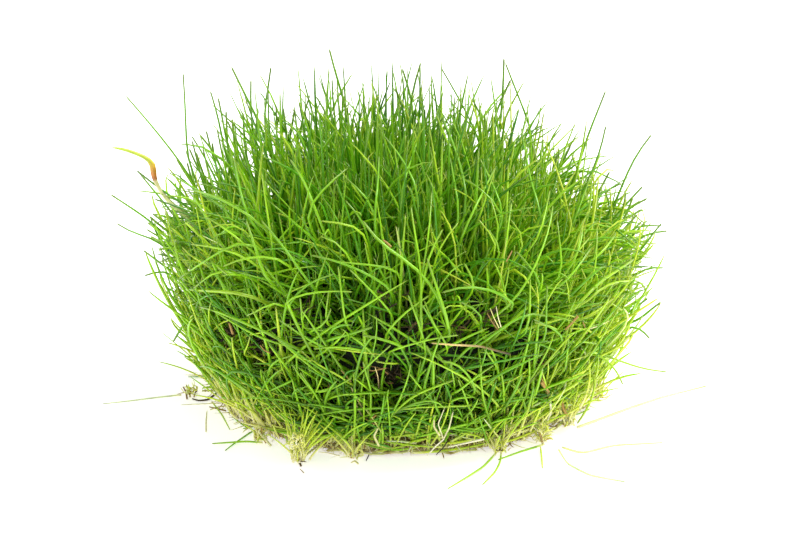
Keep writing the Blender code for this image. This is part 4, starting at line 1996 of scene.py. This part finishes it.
@dataclass
class Shoot:
    """The runner shoot over the left flank: a stem, a swollen papery sheath and one leaf.

    Its rows are the distance out, the height and the radius, in millimetres.
    """

    cushion: Cushion
    finishes: Finishes
    rng: Generator
    angle: float = math.radians(180)
    rows: tuple[tuple[float, float, float], ...] = (
        (26.6, 4.1, 0.40),
        (28.0, 12.0, 0.40),
        (29.8, 20.0, 0.38),
        (32.2, 26.0, 0.38),
        (35.0, 30.0, 0.40),
        (37.4, 32.2, 0.38),
        (38.6, 33.6, 0.36),
        (39.5, 35.4, 0.30),
        (40.0, 36.5, 0.42),
        (40.0, 37.4, 0.62),
        (39.8, 38.3, 0.60),
        (40.0, 39.1, 0.42),
        (41.2, 39.9, 0.32),
        (43.3, 40.8, 0.30),
        (45.3, 41.4, 0.24),
        (46.7, 41.5, 0.08),
    )
    steps: int = 48
    sides: int = 10
    passes: int = 3

    def build(self) -> None:
        """Builds the shoot as one thread, whose width follows the rows."""
        shares = np.linspace(0, 1, self.steps + 1)
        profile = flow(np.array(self.rows) * MM, shares, self.passes)
        widest = profile[:, 2].max()
        levels = tuple(zip(shares.tolist(), (profile[:, 2] / widest).tolist()))
        thread = ThreadPattern("shoot_pattern", levels, self.sides).model()
        spine = np.array([self.cushion.on_ring(row[0], self.angle, row[1]) for row in profile])
        radii, tones = np.array([widest]), np.array([0.5])
        piece = thread.sweep("runner_shoot_sheath", spine[None], radii, tones, self.rng)
        dress(piece, self.finishes.shoot, YOUNG_SLOT, "runner_shoot")


@dataclass(frozen=True)
class Studio:
    """The white table and the soft light over it."""

    table: float = 6.0
    sky: float = 0.85
    key: float = 4.0
    key_angle: float = math.radians(24)
    key_aim: tuple[float, float, float] = (-0.45, -0.15, -1.0)

    def build(self) -> None:
        """Makes the table, the even light all round and one soft key light."""
        deselect()
        bpy.ops.mesh.primitive_plane_add(size=self.table)
        floor = bpy.context.object
        floor.name = "white_table"
        floor.data.materials.append(FloorFinish().build())
        world = bpy.data.worlds.new("light_tent")
        world.use_nodes = True
        background = world.node_tree.nodes["Background"]
        background.inputs["Color"].default_value = linear(WHITE)
        background.inputs["Strength"].default_value = self.sky
        bpy.context.scene.world = world
        data = bpy.data.lights.new("key_light", "SUN")
        data.energy, data.angle = self.key, self.key_angle
        key = bpy.data.objects.new("key_light", data)
        key.rotation_euler = Vector(self.key_aim).to_track_quat("-Z", "Y").to_euler()
        bpy.context.scene.collection.objects.link(key)
        bpy.context.scene.view_settings.view_transform = "Standard"


PLANTLETS = (
    Daughter("left", 185.3, 2.6, 3.4, 60, 3, 0.74, 90, 14),
    Daughter("corner", 227.4, 0.0, 6.0, 50, 6, 0.62, 0, 22),
    Daughter("front_left", 244.5, 4.4, 9.5, 24, 26, 0.60, 180, 84),
    Daughter("front", 297.0, 0.0, 7.0, 40, 6, 0.55, 0, 24),
    Daughter("front_right", 311.0, 0.6, 4.5, 40, 5, 0.66, -140, 44),
    Daughter("right", 349.0, 0.0, 8.0, 20, 6, 0.60, 0, 14),
    Daughter("back_right", 52.0, 0.0, 9.0, 35),
    Daughter("back_left", 128.0, 0.0, 9.0, 35),
    Daughter("front_middle", 256.5, 0.0, 8.5, 34, 16, 0.56, 170, 16, False),
    Daughter("right_shoulder", 325.0, 0.0, 8.0, 14, 9, 0.68, 0, 12, False),
)
RUNNER_ARCS = {"front": (248, 292), "right": (316, 344), "back": (57, 123)}
RUNNER_SPOKES = {"left": PLANTLETS[0], "front_left": PLANTLETS[2]}
FALLEN = (
    FallenLeaf("left", ((-36.2, -4.1), (-40.4, -5.3), (-44.2, -6.6), (-48.7, -7.9)), 0.83, 0.19),
    FallenLeaf("corner", ((-22.0, -23.4), (-24.5, -22.9), (-29.9, -23.8)), 0.52),
    FallenLeaf("front_long", ((14.4, -27.4), (12.3, -32.5), (9.6, -36.5), (6.6, -40.7)), 0.54),
    FallenLeaf("front_short", ((15.2, -27.4), (14.9, -31.0), (14.0, -34.5), (11.9, -39.2)), 0.56),
    FallenLeaf("front_drop", ((21.4, -25.2), (21.4, -29.0), (21.3, -33.2)), 0.66),
    FallenLeaf(
        "right_low", ((24.2, -26.2), (25.2, -31.5), (28.4, -35.8), (33.6, -38.1)), 0.79, 0.22
    ),
    FallenLeaf(
        "right_middle", ((24.8, -25.2), (27.6, -27.6), (32.8, -24.4), (40.7, -23.4)), 0.76, 0.23
    ),
    FallenLeaf(
        "right_long",
        ((27.6, -17.4), (30.0, -15.4), (36.3, -9.8), (42.0, -5.2), (50.0, -0.3)),
        0.78,
        0.22,
    ),
    FallenLeaf("back_right", ((21.9, 26.6), (25.5, 31.5), (32.0, 35.5)), 0.70),
    FallenLeaf("back_left", ((-21.7, 26.9), (-23.8, 33.0), (-20.5, 39.0)), 0.70),
)

HOLLOWS = (
    Hollow((228, 335), 2.0, 0.35, 12),
    Hollow((262, 348), 2.2, 0.30, 14),
    Hollow((305, 307), 2.2, 0.30, 4),
    Hollow((330, 312), 2.2, 0.4),
    Hollow((358, 300), 2.0, 0.4),
    Hollow((390, 297), 2.8, 0.2, 3),
    Hollow((413, 330), 2.0, 0.35, 8),
    Hollow((387, 376), 2.4, 0.25, 18),
    Hollow((490, 317), 1.6, 0.35, 6),
    Hollow((507, 326), 2.0, 0.4),
    Hollow((476, 270), 2.4, 0.5),
    Hollow((515, 276), 2.0, 0.5),
    Hollow((274, 276), 2.2, 0.5),
    Hollow((322, 382), 2.2, 0.45, 5),
    Hollow((478, 374), 1.8, 0.6, 3),
    Hollow((452, 398), 1.8, 0.5, 4),
    Hollow((471, 360), 1.6, 0.45, 2),
    Hollow((472, 402), 1.8, 0.45, 2),
    Hollow((457, 328), 1.4, 0.4, 2),
    Hollow((244, 300), 1.8, 0.5),
    Hollow((540, 365), 1.8, 0.5, 6),
)

# The traced leaves and roots of each piece, read off the picture
TRACED = {
    "crest_leaves": TracedLeaf.standing(
        (13, 0.27, 0.36, (329, 48), (334, 70), (342, 92), (350, 125)),
        (4, 0.25, 0.36, (183, 72), (185, 100), (187, 165)),
        (8, 0.27, 0.36, (210, 90), (218, 115), (226, 160)),
        (10, 0.27, 0.36, (231, 66), (250, 105), (259, 121), (270, 150)),
        (12, 0.25, 0.36, (251, 79), (250, 103), (255, 155)),
        (12, 0.27, 0.36, (271, 66), (268, 90), (262, 122)),
        (9, 0.25, 0.36, (268, 88), (269, 140)),
        (6, 0.27, 0.36, (310, 94), (298, 135), (295, 155)),
        (6, 0.27, 0.36, (316, 96), (327, 114), (335, 130)),
        (14, 0.27, 0.36, (332, 78), (332, 96), (335, 119)),
        (10, 0.27, 0.36, (283, 107), (286, 130), (289, 150)),
        (6, 0.27, 0.36, (218, 97), (222, 116), (226, 140), (232, 165)),
        (3, 0.27, 0.36, (199, 134), (211, 145), (222, 170)),
        (6, 0.30, 0.36, (186, 150), (192, 172), (203, 196)),
        (5, 0.28, 0.42, (196, 152), (203, 175), (213, 198)),
        (7, 0.30, 0.36, (203, 148), (207, 168), (215, 192)),
        (8, 0.28, 0.36, (192, 140), (197, 160), (204, 190)),
        (4, 0.28, 0.42, (181, 165), (191, 182), (203, 200)),
        (6, 0.30, 0.36, (212, 142), (215, 165), (222, 190)),
        (8, 0.28, 0.36, (187, 162), (190, 178), (199, 196)),
        (5, 0.32, 0.36, (226, 110), (227, 140), (231, 180)),
        (7, 0.32, 0.42, (232, 118), (235, 145), (237, 178)),
        (4, 0.30, 0.44, (217, 128), (221, 150), (228, 182)),
        (8, 0.30, 0.36, (243, 112), (244, 140), (248, 170)),
        (5, 0.30, 0.36, (206, 130), (211, 152), (221, 180)),
        (9, 0.30, 0.42, (258, 108), (256, 132), (254, 160)),
        (3, 0.28, 0.36, (189, 148), (196, 165), (207, 186)),
        (1, 0.26, 0.42, (176, 158), (186, 176), (200, 194)),
        (9, 0.30, 0.36, (276, 104), (277, 128), (276, 158)),
        (11, 0.28, 0.36, (295, 108), (291, 130), (287, 156)),
        (4, 0.27, 0.36, (227, 120), (235, 139), (246, 157)),
        (2, 0.27, 0.36, (191, 135), (200, 148), (209, 165)),
        (14, 0.27, 0.36, (421, 62), (412, 90), (408, 130)),
        (15, 0.27, 0.36, (402, 68), (410, 90), (414, 112)),
        (10, 0.27, 0.36, (395, 87), (405, 111), (408, 136)),
        (8, 0.26, 0.36, (440, 66), (459, 98), (475, 130), (486, 154)),
        (6, 0.27, 0.36, (472, 98), (484, 120), (489, 143)),
        (12, 0.27, 0.36, (504, 57), (503, 95), (500, 130)),
        (11, 0.22, 0.36, (505, 62), (518, 96), (529, 121), (536, 150)),
        (11, 0.27, 0.36, (511, 79), (502, 98), (493, 118)),
        (6, 0.25, 0.36, (606, 90), (596, 116), (587, 136), (577, 173)),
        (4, 0.27, 0.36, (606, 125), (602, 146), (595, 166)),
        (2, 0.25, 0.36, (652, 134), (637, 152), (623, 182), (616, 204)),
        (6, 0.27, 0.36, (571, 145), (564, 161), (555, 175)),
        (2, 0.27, 0.36, (558, 153), (552, 171), (549, 185)),
        (2, 0.27, 0.36, (610, 171), (602, 186), (594, 200)),
        (2, 0.21, 0.36, (125, 95), (147, 120), (165, 142), (185, 168)),
        (3, 0.20, 0.36, (604, 188), (609, 200), (613, 214)),
        (4, 0.22, 0.36, (622, 183), (613, 188), (600, 194), (580, 201)),
        (2, 0.30, 0.46, (626, 192), (624, 208), (615, 232)),
        (3, 0.28, 0.46, (618, 196), (614, 212), (604, 236)),
    ),
    "right_flank_leaves": TracedLeaf.standing(
        (1, 0.30, 0.44, (633, 197), (628, 212), (616, 234)),
        (0, 0.30, 0.48, (631, 206), (622, 222), (608, 244)),
        (-1, 0.28, 0.44, (638, 214), (628, 224), (612, 242)),
        (1, 0.28, 0.48, (642, 221), (632, 230), (618, 250)),
        (-2, 0.27, 0.36, (648, 198), (636, 204), (623, 211)),
        (3, 0.27, 0.36, (643, 186), (634, 196), (622, 208)),
        (0, 0.27, 0.36, (642, 209), (632, 215), (620, 222)),
        (-3, 0.27, 0.36, (662, 226), (648, 224), (632, 226)),
        (0, 0.25, 0.36, (668, 231), (655, 231), (640, 236)),
        (-4, 0.27, 0.36, (662, 223), (652, 233), (645, 247)),
        (-3, 0.27, 0.36, (664, 268), (655, 266), (645, 268)),
        (-8, 0.27, 0.36, (648, 298), (640, 304), (630, 312)),
        (-6, 0.27, 0.36, (661, 302), (650, 310), (640, 320)),
        (-9, 0.25, 0.36, (650, 339), (645, 333), (637, 325)),
        (-14, 0.24, 0.55, (667, 372), (643, 369), (620, 361), (584, 348)),
        (-17, 0.24, 0.55, (623, 385), (616, 369), (596, 352)),
        (-18, 0.24, 0.60, (577, 424), (588, 408), (596, 387), (594, 370)),
    ),
    "left_flank_leaves": TracedLeaf.standing(
        (0, 0.30, 0.44, (149, 216), (160, 226), (180, 240)),
        (-1, 0.28, 0.40, (152, 213), (165, 224), (186, 236)),
        (-2, 0.28, 0.48, (147, 222), (158, 231), (176, 243)),
        (1, 0.28, 0.44, (157, 216), (170, 228), (190, 243)),
        (-3, 0.28, 0.44, (146, 229), (160, 238), (180, 246)),
        (-4, 0.28, 0.48, (150, 236), (162, 243), (179, 250)),
        (0, 0.25, 0.36, (110, 194), (128, 206), (143, 215), (155, 225)),
        (0, 0.30, 0.28, (136, 170), (157, 187), (177, 201), (200, 212)),
        (-2, 0.30, 0.22, (154, 199), (176, 206), (207, 218)),
        (-2, 0.25, 0.36, (116, 223), (130, 233), (155, 238)),
        (2, 0.27, 0.36, (137, 170), (147, 183), (158, 195)),
        (-5, 0.27, 0.36, (143, 250), (152, 257), (163, 265)),
        (-6, 0.27, 0.36, (144, 276), (154, 272), (165, 269)),
        (-10, 0.27, 0.36, (173, 342), (183, 325), (192, 312)),
    ),
    "face_leaves": (
        *TracedLeaf.on_face(
            (2.2, 0.31, 0.42, (362, 220), (376, 243), (399, 255), (417, 268), (433, 283),
             (443, 306), (453, 339)),
            (1.2, 0.29, 0.42, (246, 220), (258, 255), (263, 278)),
            (1.8, 0.23, 0.36, (261, 220), (286, 249), (307, 281)),
            (1.6, 0.25, 0.36, (335, 274), (318, 277), (307, 282), (296, 295), (283, 309)),
            (2.0, 0.23, 0.46, (353, 292), (330, 290), (295, 295), (278, 304)),
            (2.0, 0.25, 0.46, (200, 307), (215, 310), (246, 324), (270, 333), (300, 352)),
            (1.6, 0.25, 0.36, (310, 255), (338, 260), (368, 274), (391, 286)),
            (2.4, 0.23, 0.46, (338, 266), (342, 297), (345, 327)),
            (1.6, 0.29, 0.42, (362, 335), (384, 339), (404, 347)),
            (1.8, 0.23, 0.46, (430, 295), (404, 312), (384, 335)),
            (1.4, 0.29, 0.36, (373, 327), (347, 335), (319, 342)),
            (2.0, 0.23, 0.42, (408, 295), (417, 318), (424, 339), (427, 355)),
            (2.6, 0.25, 0.36, (441, 293), (456, 286), (475, 285), (492, 289), (507, 296),
             (521, 305)),
            (2.0, 0.21, 0.36, (460, 302), (471, 303), (480, 311), (486, 321)),
            (1.8, 0.25, 0.36, (546, 316), (538, 310), (519, 316), (500, 329), (480, 346)),
            (2.0, 0.23, 0.36, (516, 251), (533, 270), (546, 285)),
            (2.0, 0.23, 0.36, (547, 285), (546, 313), (546, 344)),
            (1.4, 0.21, 0.36, (529, 303), (528, 320), (528, 336)),
            (1.8, 0.25, 0.44, (591, 248), (581, 263), (566, 283)),
            (1.8, 0.23, 0.44, (557, 220), (561, 253), (564, 278)),
        ),
        *TracedBlade.on_face(
            (2.4, 0.20, 0.92, (431, 343), (455, 345), (480, 346), (498, 351), (510, 354)),
        ),
        *TracedLeaf.on_face(
            (2.0, 0.23, 0.36, (533, 319), (549, 326), (561, 333), (566, 344)),
            (1.6, 0.23, 0.42, (400, 397), (417, 392), (433, 389), (455, 379)),
            (2.0, 0.25, 0.42, (440, 361), (455, 361), (466, 372), (475, 384), (476, 397)),
            (1.6, 0.23, 0.36, (480, 159), (496, 191), (507, 218)),
            (1.8, 0.23, 0.42, (466, 179), (487, 193), (507, 214)),
            (2.0, 0.23, 0.42, (495, 168), (480, 198), (466, 225)),
            (2.0, 0.23, 0.36, (420, 134), (409, 166), (400, 193)),
            (2.0, 0.25, 0.36, (441, 114), (454, 145), (462, 171), (470, 202)),
            (1.6, 0.21, 0.36, (450, 157), (455, 186), (461, 214)),
            (1.8, 0.23, 0.36, (521, 127), (527, 161), (532, 189), (543, 214), (548, 229)),
            (1.8, 0.23, 0.36, (234, 157), (238, 180), (243, 203), (246, 218)),
            (1.8, 0.25, 0.42, (290, 159), (302, 176), (312, 199), (318, 218)),
            (2.2, 0.23, 0.42, (186, 189), (211, 194), (231, 205), (257, 218)),
            (1.4, 0.21, 0.36, (345, 200), (353, 209), (364, 220)),
            (1.8, 0.23, 0.36, (384, 136), (399, 154), (410, 172), (420, 192)),
            (1.8, 0.23, 0.36, (379, 156), (378, 188), (373, 218)),
            (2.2, 0.25, 0.42, (348, 168), (333, 179), (318, 195), (302, 212)),
            (1.8, 0.23, 0.36, (345, 177), (361, 191), (373, 203)),
            (1.8, 0.22, 0.46, (188, 190), (203, 210), (211, 228), (214, 241)),
            (1.8, 0.22, 0.52, (206, 217), (221, 226), (236, 236), (243, 243)),
            (1.8, 0.20, 0.58, (206, 230), (219, 223), (236, 221)),
            (1.6, 0.22, 0.50, (174, 238), (176, 255), (181, 270), (188, 284)),
            # This leaf's pale tone is partly a painted highlight: the sheen that lies on it
            (1.6, 0.20, 0.62, (182, 247), (187, 254), (195, 259)),
            (2.0, 0.25, 0.44, (179, 279), (197, 266), (211, 257), (235, 242), (249, 236)),
            (1.8, 0.22, 0.50, (228, 275), (219, 268), (209, 260)),
            (1.8, 0.22, 0.48, (222, 267), (238, 259), (249, 256), (280, 256)),
            (1.6, 0.22, 0.50, (193, 289), (211, 274), (224, 266)),
            (1.8, 0.23, 0.50, (212, 310), (227, 319), (245, 330), (264, 340), (283, 345)),
            (1.8, 0.22, 0.48, (246, 316), (258, 312), (272, 300)),
            (1.4, 0.20, 0.60, (250, 336), (248, 347), (241, 356)),
            (2.0, 0.23, 0.42, (278, 319), (296, 332), (315, 344), (330, 350)),
            (1.8, 0.22, 0.46, (300, 297), (303, 313), (300, 327)),
            (1.6, 0.25, 0.42, (291, 356), (275, 360), (268, 370), (265, 383)),
            (1.8, 0.23, 0.42, (292, 364), (302, 379), (314, 392), (320, 402)),
            (1.6, 0.25, 0.46, (245, 361), (258, 384), (270, 405), (282, 425)),
            (1.8, 0.20, 0.46, (424, 300), (429, 315), (435, 328), (444, 338), (450, 352)),
            (1.6, 0.20, 0.48, (421, 298), (422, 315), (422, 338)),
            (2.4, 0.22, 0.46, (459, 335), (440, 337), (422, 341), (405, 346), (387, 352)),
            (1.8, 0.25, 0.46, (378, 360), (368, 348), (356, 338), (344, 332)),
            (1.6, 0.23, 0.48, (313, 349), (333, 346), (351, 348), (366, 351)),
            (2.0, 0.22, 0.58, (300, 350), (315, 364), (332, 372), (347, 379), (351, 387)),
        ),
        *TracedBlade.on_face(
            (1.6, 0.17, 0.88, (351, 387), (355, 396), (356, 405), (361, 414), (365, 418)),
        ),
        *TracedLeaf.on_face(
            (1.8, 0.24, 0.46, (300, 395), (315, 392), (331, 389), (343, 384)),
            (2.0, 0.25, 0.44, (300, 372), (308, 384), (317, 396), (323, 409), (326, 418)),
            (2.0, 0.22, 0.44, (411, 364), (408, 379), (402, 395), (394, 410), (387, 425)),
            (2.4, 0.20, 0.54, (398, 410), (415, 407), (435, 407), (453, 406), (476, 406)),
            (1.8, 0.29, 0.44, (426, 345), (433, 356), (434, 369), (433, 387), (434, 396)),
            (1.6, 0.20, 0.46, (450, 359), (452, 372), (456, 390)),
            (2.0, 0.23, 0.48, (481, 364), (481, 382), (483, 398), (488, 416), (495, 437)),
            (1.8, 0.23, 0.48, (458, 379), (466, 398), (471, 414), (476, 427), (487, 438)),
            (2.2, 0.24, 0.44, (494, 365), (479, 374), (465, 386), (452, 396)),
            (1.8, 0.22, 0.48, (484, 349), (491, 359), (500, 370)),
            (1.8, 0.22, 0.46, (408, 372), (420, 387), (433, 402)),
            (1.8, 0.24, 0.50, (329, 290), (327, 305), (324, 323)),
            (1.8, 0.25, 0.42, (331, 308), (331, 317), (325, 327), (315, 331), (304, 331)),
            (1.8, 0.22, 0.46, (363, 361), (365, 372), (371, 387), (371, 402), (370, 418)),
            (1.4, 0.20, 0.58, (375, 361), (382, 364), (389, 365), (397, 363)),
        ),
        *TracedBlade.on_face((0.8, 0.12, 0.90, (375, 367), (378, 377), (379, 389))),
        *TracedLeaf.on_face(
            (1.4, 0.26, 0.52, (415, 440), (416, 428), (422, 417), (428, 410)),
            (2.2, 0.26, 0.46, (553, 205), (550, 230), (539, 258), (528, 284), (517, 297),
             (506, 310)),
            (1.8, 0.25, 0.48, (583, 226), (582, 245), (575, 258), (571, 272)),
            (1.6, 0.22, 0.52, (597, 228), (597, 256), (595, 268), (594, 286)),
            (1.6, 0.26, 0.50, (616, 233), (607, 247), (597, 258)),
            (1.8, 0.27, 0.54, (634, 259), (619, 270), (606, 277), (593, 287), (580, 303),
             (574, 313)),
            (1.6, 0.24, 0.57, (639, 281), (619, 281), (605, 284), (593, 294), (586, 306)),
            (1.8, 0.19, 0.62, (616, 296), (610, 305), (598, 313), (585, 319)),
            (2.0, 0.22, 0.56, (534, 322), (545, 325), (563, 330)),
            (1.6, 0.25, 0.52, (599, 344), (587, 342), (574, 341)),
            (1.8, 0.24, 0.44, (568, 335), (569, 345), (566, 358), (565, 375)),
            (1.8, 0.24, 0.50, (560, 350), (551, 360), (542, 368), (533, 373)),
            (1.6, 0.25, 0.46, (488, 229), (495, 239), (505, 249)),
            (1.8, 0.25, 0.48, (464, 263), (472, 273), (477, 287)),
            (1.6, 0.24, 0.50, (501, 371), (504, 388), (504, 401), (505, 420)),
            (1.6, 0.24, 0.48, (513, 383), (522, 395), (525, 406), (528, 421)),
            (1.8, 0.24, 0.50, (529, 357), (530, 375), (527, 388), (525, 404)),
            (1.6, 0.24, 0.60, (541, 369), (548, 391)),
            (1.4, 0.23, 0.60, (570, 362), (571, 380), (570, 398)),
            (2.2, 0.20, 0.44, (432, 190), (430, 225), (424, 265)),
            (2.4, 0.25, 0.47, (443, 229), (430, 250), (425, 270), (422, 290)),
            (2.4, 0.21, 0.46, (411, 206), (413, 227), (418, 248), (422, 273), (421, 300),
             (421, 330)),
            (2.6, 0.32, 0.45, (427, 258), (435, 283), (444, 308), (451, 330)),
            (1.8, 0.20, 0.52, (459, 222), (447, 235), (438, 250)),
            (2.0, 0.20, 0.55, (478, 219), (489, 231), (501, 246)),
            (1.8, 0.20, 0.42, (349, 269), (366, 285), (380, 300), (391, 311)),
            (1.8, 0.22, 0.54, (320, 221), (343, 223), (363, 226)),
            (1.8, 0.19, 0.48, (320, 236), (337, 238), (349, 256)),
            (1.4, 0.22, 0.42, (335, 262), (372, 265), (400, 268)),
            (1.8, 0.29, 0.55, (180, 289), (211, 291), (247, 293)),
            (1.8, 0.22, 0.52, (190, 244), (221, 248), (247, 257)),
            (1.8, 0.23, 0.52, (550, 190), (545, 215), (540, 238)),
            (1.8, 0.21, 0.54, (510, 219), (519, 225), (525, 235), (527, 245)),
            (1.8, 0.20, 0.50, (490, 197), (496, 215), (502, 234)),
            (2.0, 0.20, 0.50, (512, 202), (509, 217), (507, 234), (507, 256)),
            (1.8, 0.21, 0.56, (590, 237), (582, 245), (577, 256)),
            (1.6, 0.17, 0.60, (568, 209), (572, 220), (576, 232)),
            (1.6, 0.18, 0.60, (581, 268), (588, 280), (592, 289)),
            (2.0, 0.24, 0.50, (530, 278), (530, 302), (529, 332)),
            (1.8, 0.20, 0.62, (615, 297), (602, 308), (587, 318)),
            (1.4, 0.19, 0.60, (611, 303), (623, 311), (634, 321)),
            (1.6, 0.18, 0.48, (509, 267), (507, 282), (505, 298)),
            (2.0, 0.22, 0.46, (391, 345), (378, 356), (366, 368), (353, 381)),
            (2.0, 0.23, 0.48, (352, 378), (341, 384), (329, 391), (314, 393)),
            (1.8, 0.18, 0.52, (325, 369), (322, 378), (314, 396), (305, 411)),
            (2.4, 0.24, 0.52, (454, 380), (437, 386), (414, 395), (400, 407), (391, 417)),
            (1.6, 0.23, 0.58, (428, 408), (419, 422), (416, 438)),
        ),
    ),
    "stem_leaves": TracedBlade.on_face(
        (2.4, 0.23, 0.60, (232, 337), (233, 349), (236, 363), (241, 382), (246, 398), (255, 423)),
        (2.2, 0.26, 0.60, (216, 366), (227, 384), (238, 402), (248, 417), (256, 426)),
        (2.0, 0.24, 0.52, (208, 364), (221, 387), (230, 405), (240, 419), (250, 427)),
        (2.2, 0.22, 0.62, (221, 362), (231, 380), (240, 397), (251, 420)),
        (2.2, 0.25, 0.50, (201, 338), (213, 360), (226, 384), (243, 410)),
        (1.8, 0.22, 0.58, (226, 352), (238, 380), (247, 404), (257, 424)),
        (2.0, 0.22, 0.50, (244, 372), (251, 397), (258, 420)),
        (1.6, 0.22, 0.58, (195, 346), (205, 365), (216, 384), (228, 402)),
        (1.8, 0.24, 0.62, (204, 352), (214, 372), (226, 392), (241, 412)),
        (2.0, 0.20, 0.62, (236, 375), (242, 392), (249, 412)),
        (1.4, 0.22, 0.56, (190, 330), (200, 352), (210, 372), (222, 394)),
        (2.2, 0.22, 0.60, (589, 356), (590, 378), (587, 394), (580, 408)),
        (2.0, 0.22, 0.56, (582, 366), (580, 388), (576, 405)),
        (1.8, 0.22, 0.54, (599, 352), (597, 372), (590, 394), (583, 406)),
        (1.8, 0.22, 0.58, (572, 372), (571, 392), (568, 410)),
        (1.6, 0.19, 0.50, (550, 409), (539, 414), (529, 421), (517, 423), (507, 425)),
        (1.0, 0.22, 0.59, (519, 422), (518, 434), (517, 446)),
    ),
    "rim_roots": TracedRoot.standing(
        (-30.6, 0.12, 0.92, (445, 407), (438, 424), (443, 438)),
        (-30.5, 0.13, 0.90, (453, 412), (449, 428), (443, 440)),
        (-31.6, 0.14, 0.98, (427, 456), (435, 447), (444, 439)),
        (-30.7, 0.16, 0.85, (434, 415), (434, 427), (440, 436)),
        (-31.2, 0.14, 0.08, (436, 455), (443, 448), (447, 442)),
        (-21.5, 0.24, 0.97, (546, 424), (551, 412), (550, 398), (544, 387)),
        (None, 0.30, 0.33, (549, 392), (544, 386), (541, 382)),
        (None, 0.26, 0.36, (552, 399), (547, 392), (546, 385)),
        (-18.4, 0.28, 0.36, (567, 416), (563, 408), (562, 400)),
        (None, 0.22, 0.34, (371, 415), (375, 420), (381, 424)),
        (None, 0.18, 0.37, (369, 423), (376, 419), (384, 415)),
        (None, 0.14, 0.80, (372, 427), (376, 421), (378, 416)),
        (-31.0, 0.18, 0.85, (378, 428), (374, 436), (379, 446)),
        (-30.6, 0.16, 0.97, (448, 447), (466, 443), (484, 439)),
        (-24.3, 0.20, 0.88, (258, 431), (264, 438), (271, 446)),
        (-23.6, 0.18, 0.37, (261, 427), (262, 435), (266, 443)),
        (-24.0, 0.16, 0.80, (255, 427), (258, 434), (258, 441)),
        (-24.5, 0.20, 0.48, (539, 432), (541, 437), (542, 442)),
    ),
    "surface_roots": TracedRoot.lying(
        (0.10, 0.98, (181, 405), (205, 404), (227, 403)),
        (0.17, 0.46, (183, 387), (186, 392), (187, 399)),
        (0.16, 0.60, (186, 385), (190, 391), (190, 397)),
        (0.15, 0.42, (193, 387), (196, 391), (194, 397)),
        (0.18, 0.14, (192, 399), (199, 401), (208, 400), (216, 394)),
        (0.14, 0.48, (209, 407), (218, 409), (226, 411)),
        (0.12, 0.84, (210, 410), (219, 407), (227, 406)),
        (0.12, 0.88, (207, 411), (206, 421), (206, 432)),
        (0.18, 0.84, (351, 463), (355, 461), (358, 464)),
        (0.22, 0.96, (374, 452), (380, 449), (386, 450)),
        (0.10, 0.08, (366, 461), (368, 457), (370, 453)),
        (0.20, 0.20, (299, 462), (300, 464), (301, 466)),
        (0.08, 0.48, (300, 469), (302, 471), (304, 473)),
        (0.07, 0.85, (318, 452), (328, 453), (340, 456)),
    ),
    "surface_leaves": TracedBlade.lying(
        (0.17, 0.42, (225, 451), (234, 444), (250, 433), (262, 427)),
        (0.14, 0.50, (243, 429), (252, 427), (264, 425)),
        (0.19, 0.50, (247, 428), (236, 420), (225, 401)),
        (0.15, 0.60, (230, 430), (222, 415), (212, 402)),
        (0.14, 0.30, (188, 377), (200, 377), (213, 377)),
        (0.13, 0.42, (568, 416), (579, 414), (590, 409)),
        (0.16, 0.52, (498, 460), (520, 452), (543, 445)),
    ),
    "old_sheaths": TracedRoot.on_face(
        (1.6, 0.10, 0.44, (487, 313), (492, 322), (498, 330)),
        (1.6, 0.09, 0.78, (490, 308), (494, 318), (499, 328)),
        (1.8, 0.10, 0.88, (496, 306), (498, 317), (501, 327)),
        (1.6, 0.18, 0.38, (383, 240), (387, 243), (391, 247)),
        (1.6, 0.11, 0.40, (506, 262), (509, 257), (512, 251)),
        (0.2, 0.10, 0.42, (361, 367), (372, 371), (386, 368)),
        (1.0, 0.13, 0.62, (352, 388), (358, 401), (364, 410)),
        (1.0, 0.13, 0.52, (341, 370), (346, 376), (351, 382)),
        (1.4, 0.14, 0.36, (541, 378), (545, 384), (550, 388)),
        (1.8, 0.20, 0.40, (565, 330), (571, 324), (578, 316)),
        (1.6, 0.13, 0.38, (583, 322), (585, 327), (587, 333)),
        (1.8, 0.10, 0.86, (609, 321), (599, 326), (589, 329)),
        (0.8, 0.14, 0.94, (504, 420), (505, 430), (494, 439)),
        (1.0, 0.20, 0.40, (229, 323), (231, 328), (233, 334)),
        (1.0, 0.12, 0.40, (260, 345), (264, 350), (270, 353)),
        (1.6, 0.14, 0.36, (366, 425), (371, 420), (376, 415)),
        (1.5, 0.12, 0.34, (366, 419), (372, 423), (378, 425)),
    ),
}


def main() -> None:
    """Builds the clump and the studio in order."""
    logging.basicConfig(level=logging.INFO, format="%(name)s %(message)s")
    rng = np.random.default_rng(SEED)
    cushion, camera, finishes = Cushion(), StudioCamera(), Finishes()
    leaf, long_leaf, root = LEAF_PATTERN.model(), LONG_LEAF_PATTERN.model(), ROOT_PATTERN.model()
    taken = [plantlet.degrees for plantlet in PLANTLETS]
    for first, last in RUNNER_ARCS.values():
        taken.extend(range(first, last + 1, 2))
    RootMat(cushion, root, finishes, rng, tuple(taken)).build()
    face = Face(cushion, camera, HOLLOWS)
    TuftField(cushion, leaf, finishes, rng, face).build()
    OldGrowth(face, root, finishes, rng).build()
    rim = RimPlantlets(cushion, leaf, root, finishes, rng, face)
    rim.build()
    daughters, stolon = Daughters(rim, PLANTLETS), STOLON_PATTERN.model()
    daughters.build()
    Runners(cushion, daughters, stolon, finishes, rng).build(RUNNER_ARCS, RUNNER_SPOKES)
    FallenLeaves(long_leaf, finishes, rng).build(FALLEN)
    Shoot(cushion, finishes, rng).build()
    TracedLeaves(face, long_leaf, finishes, rng).build(TRACED)
    Studio().build()
    camera.build()


if __name__ == "__main__":
    main()
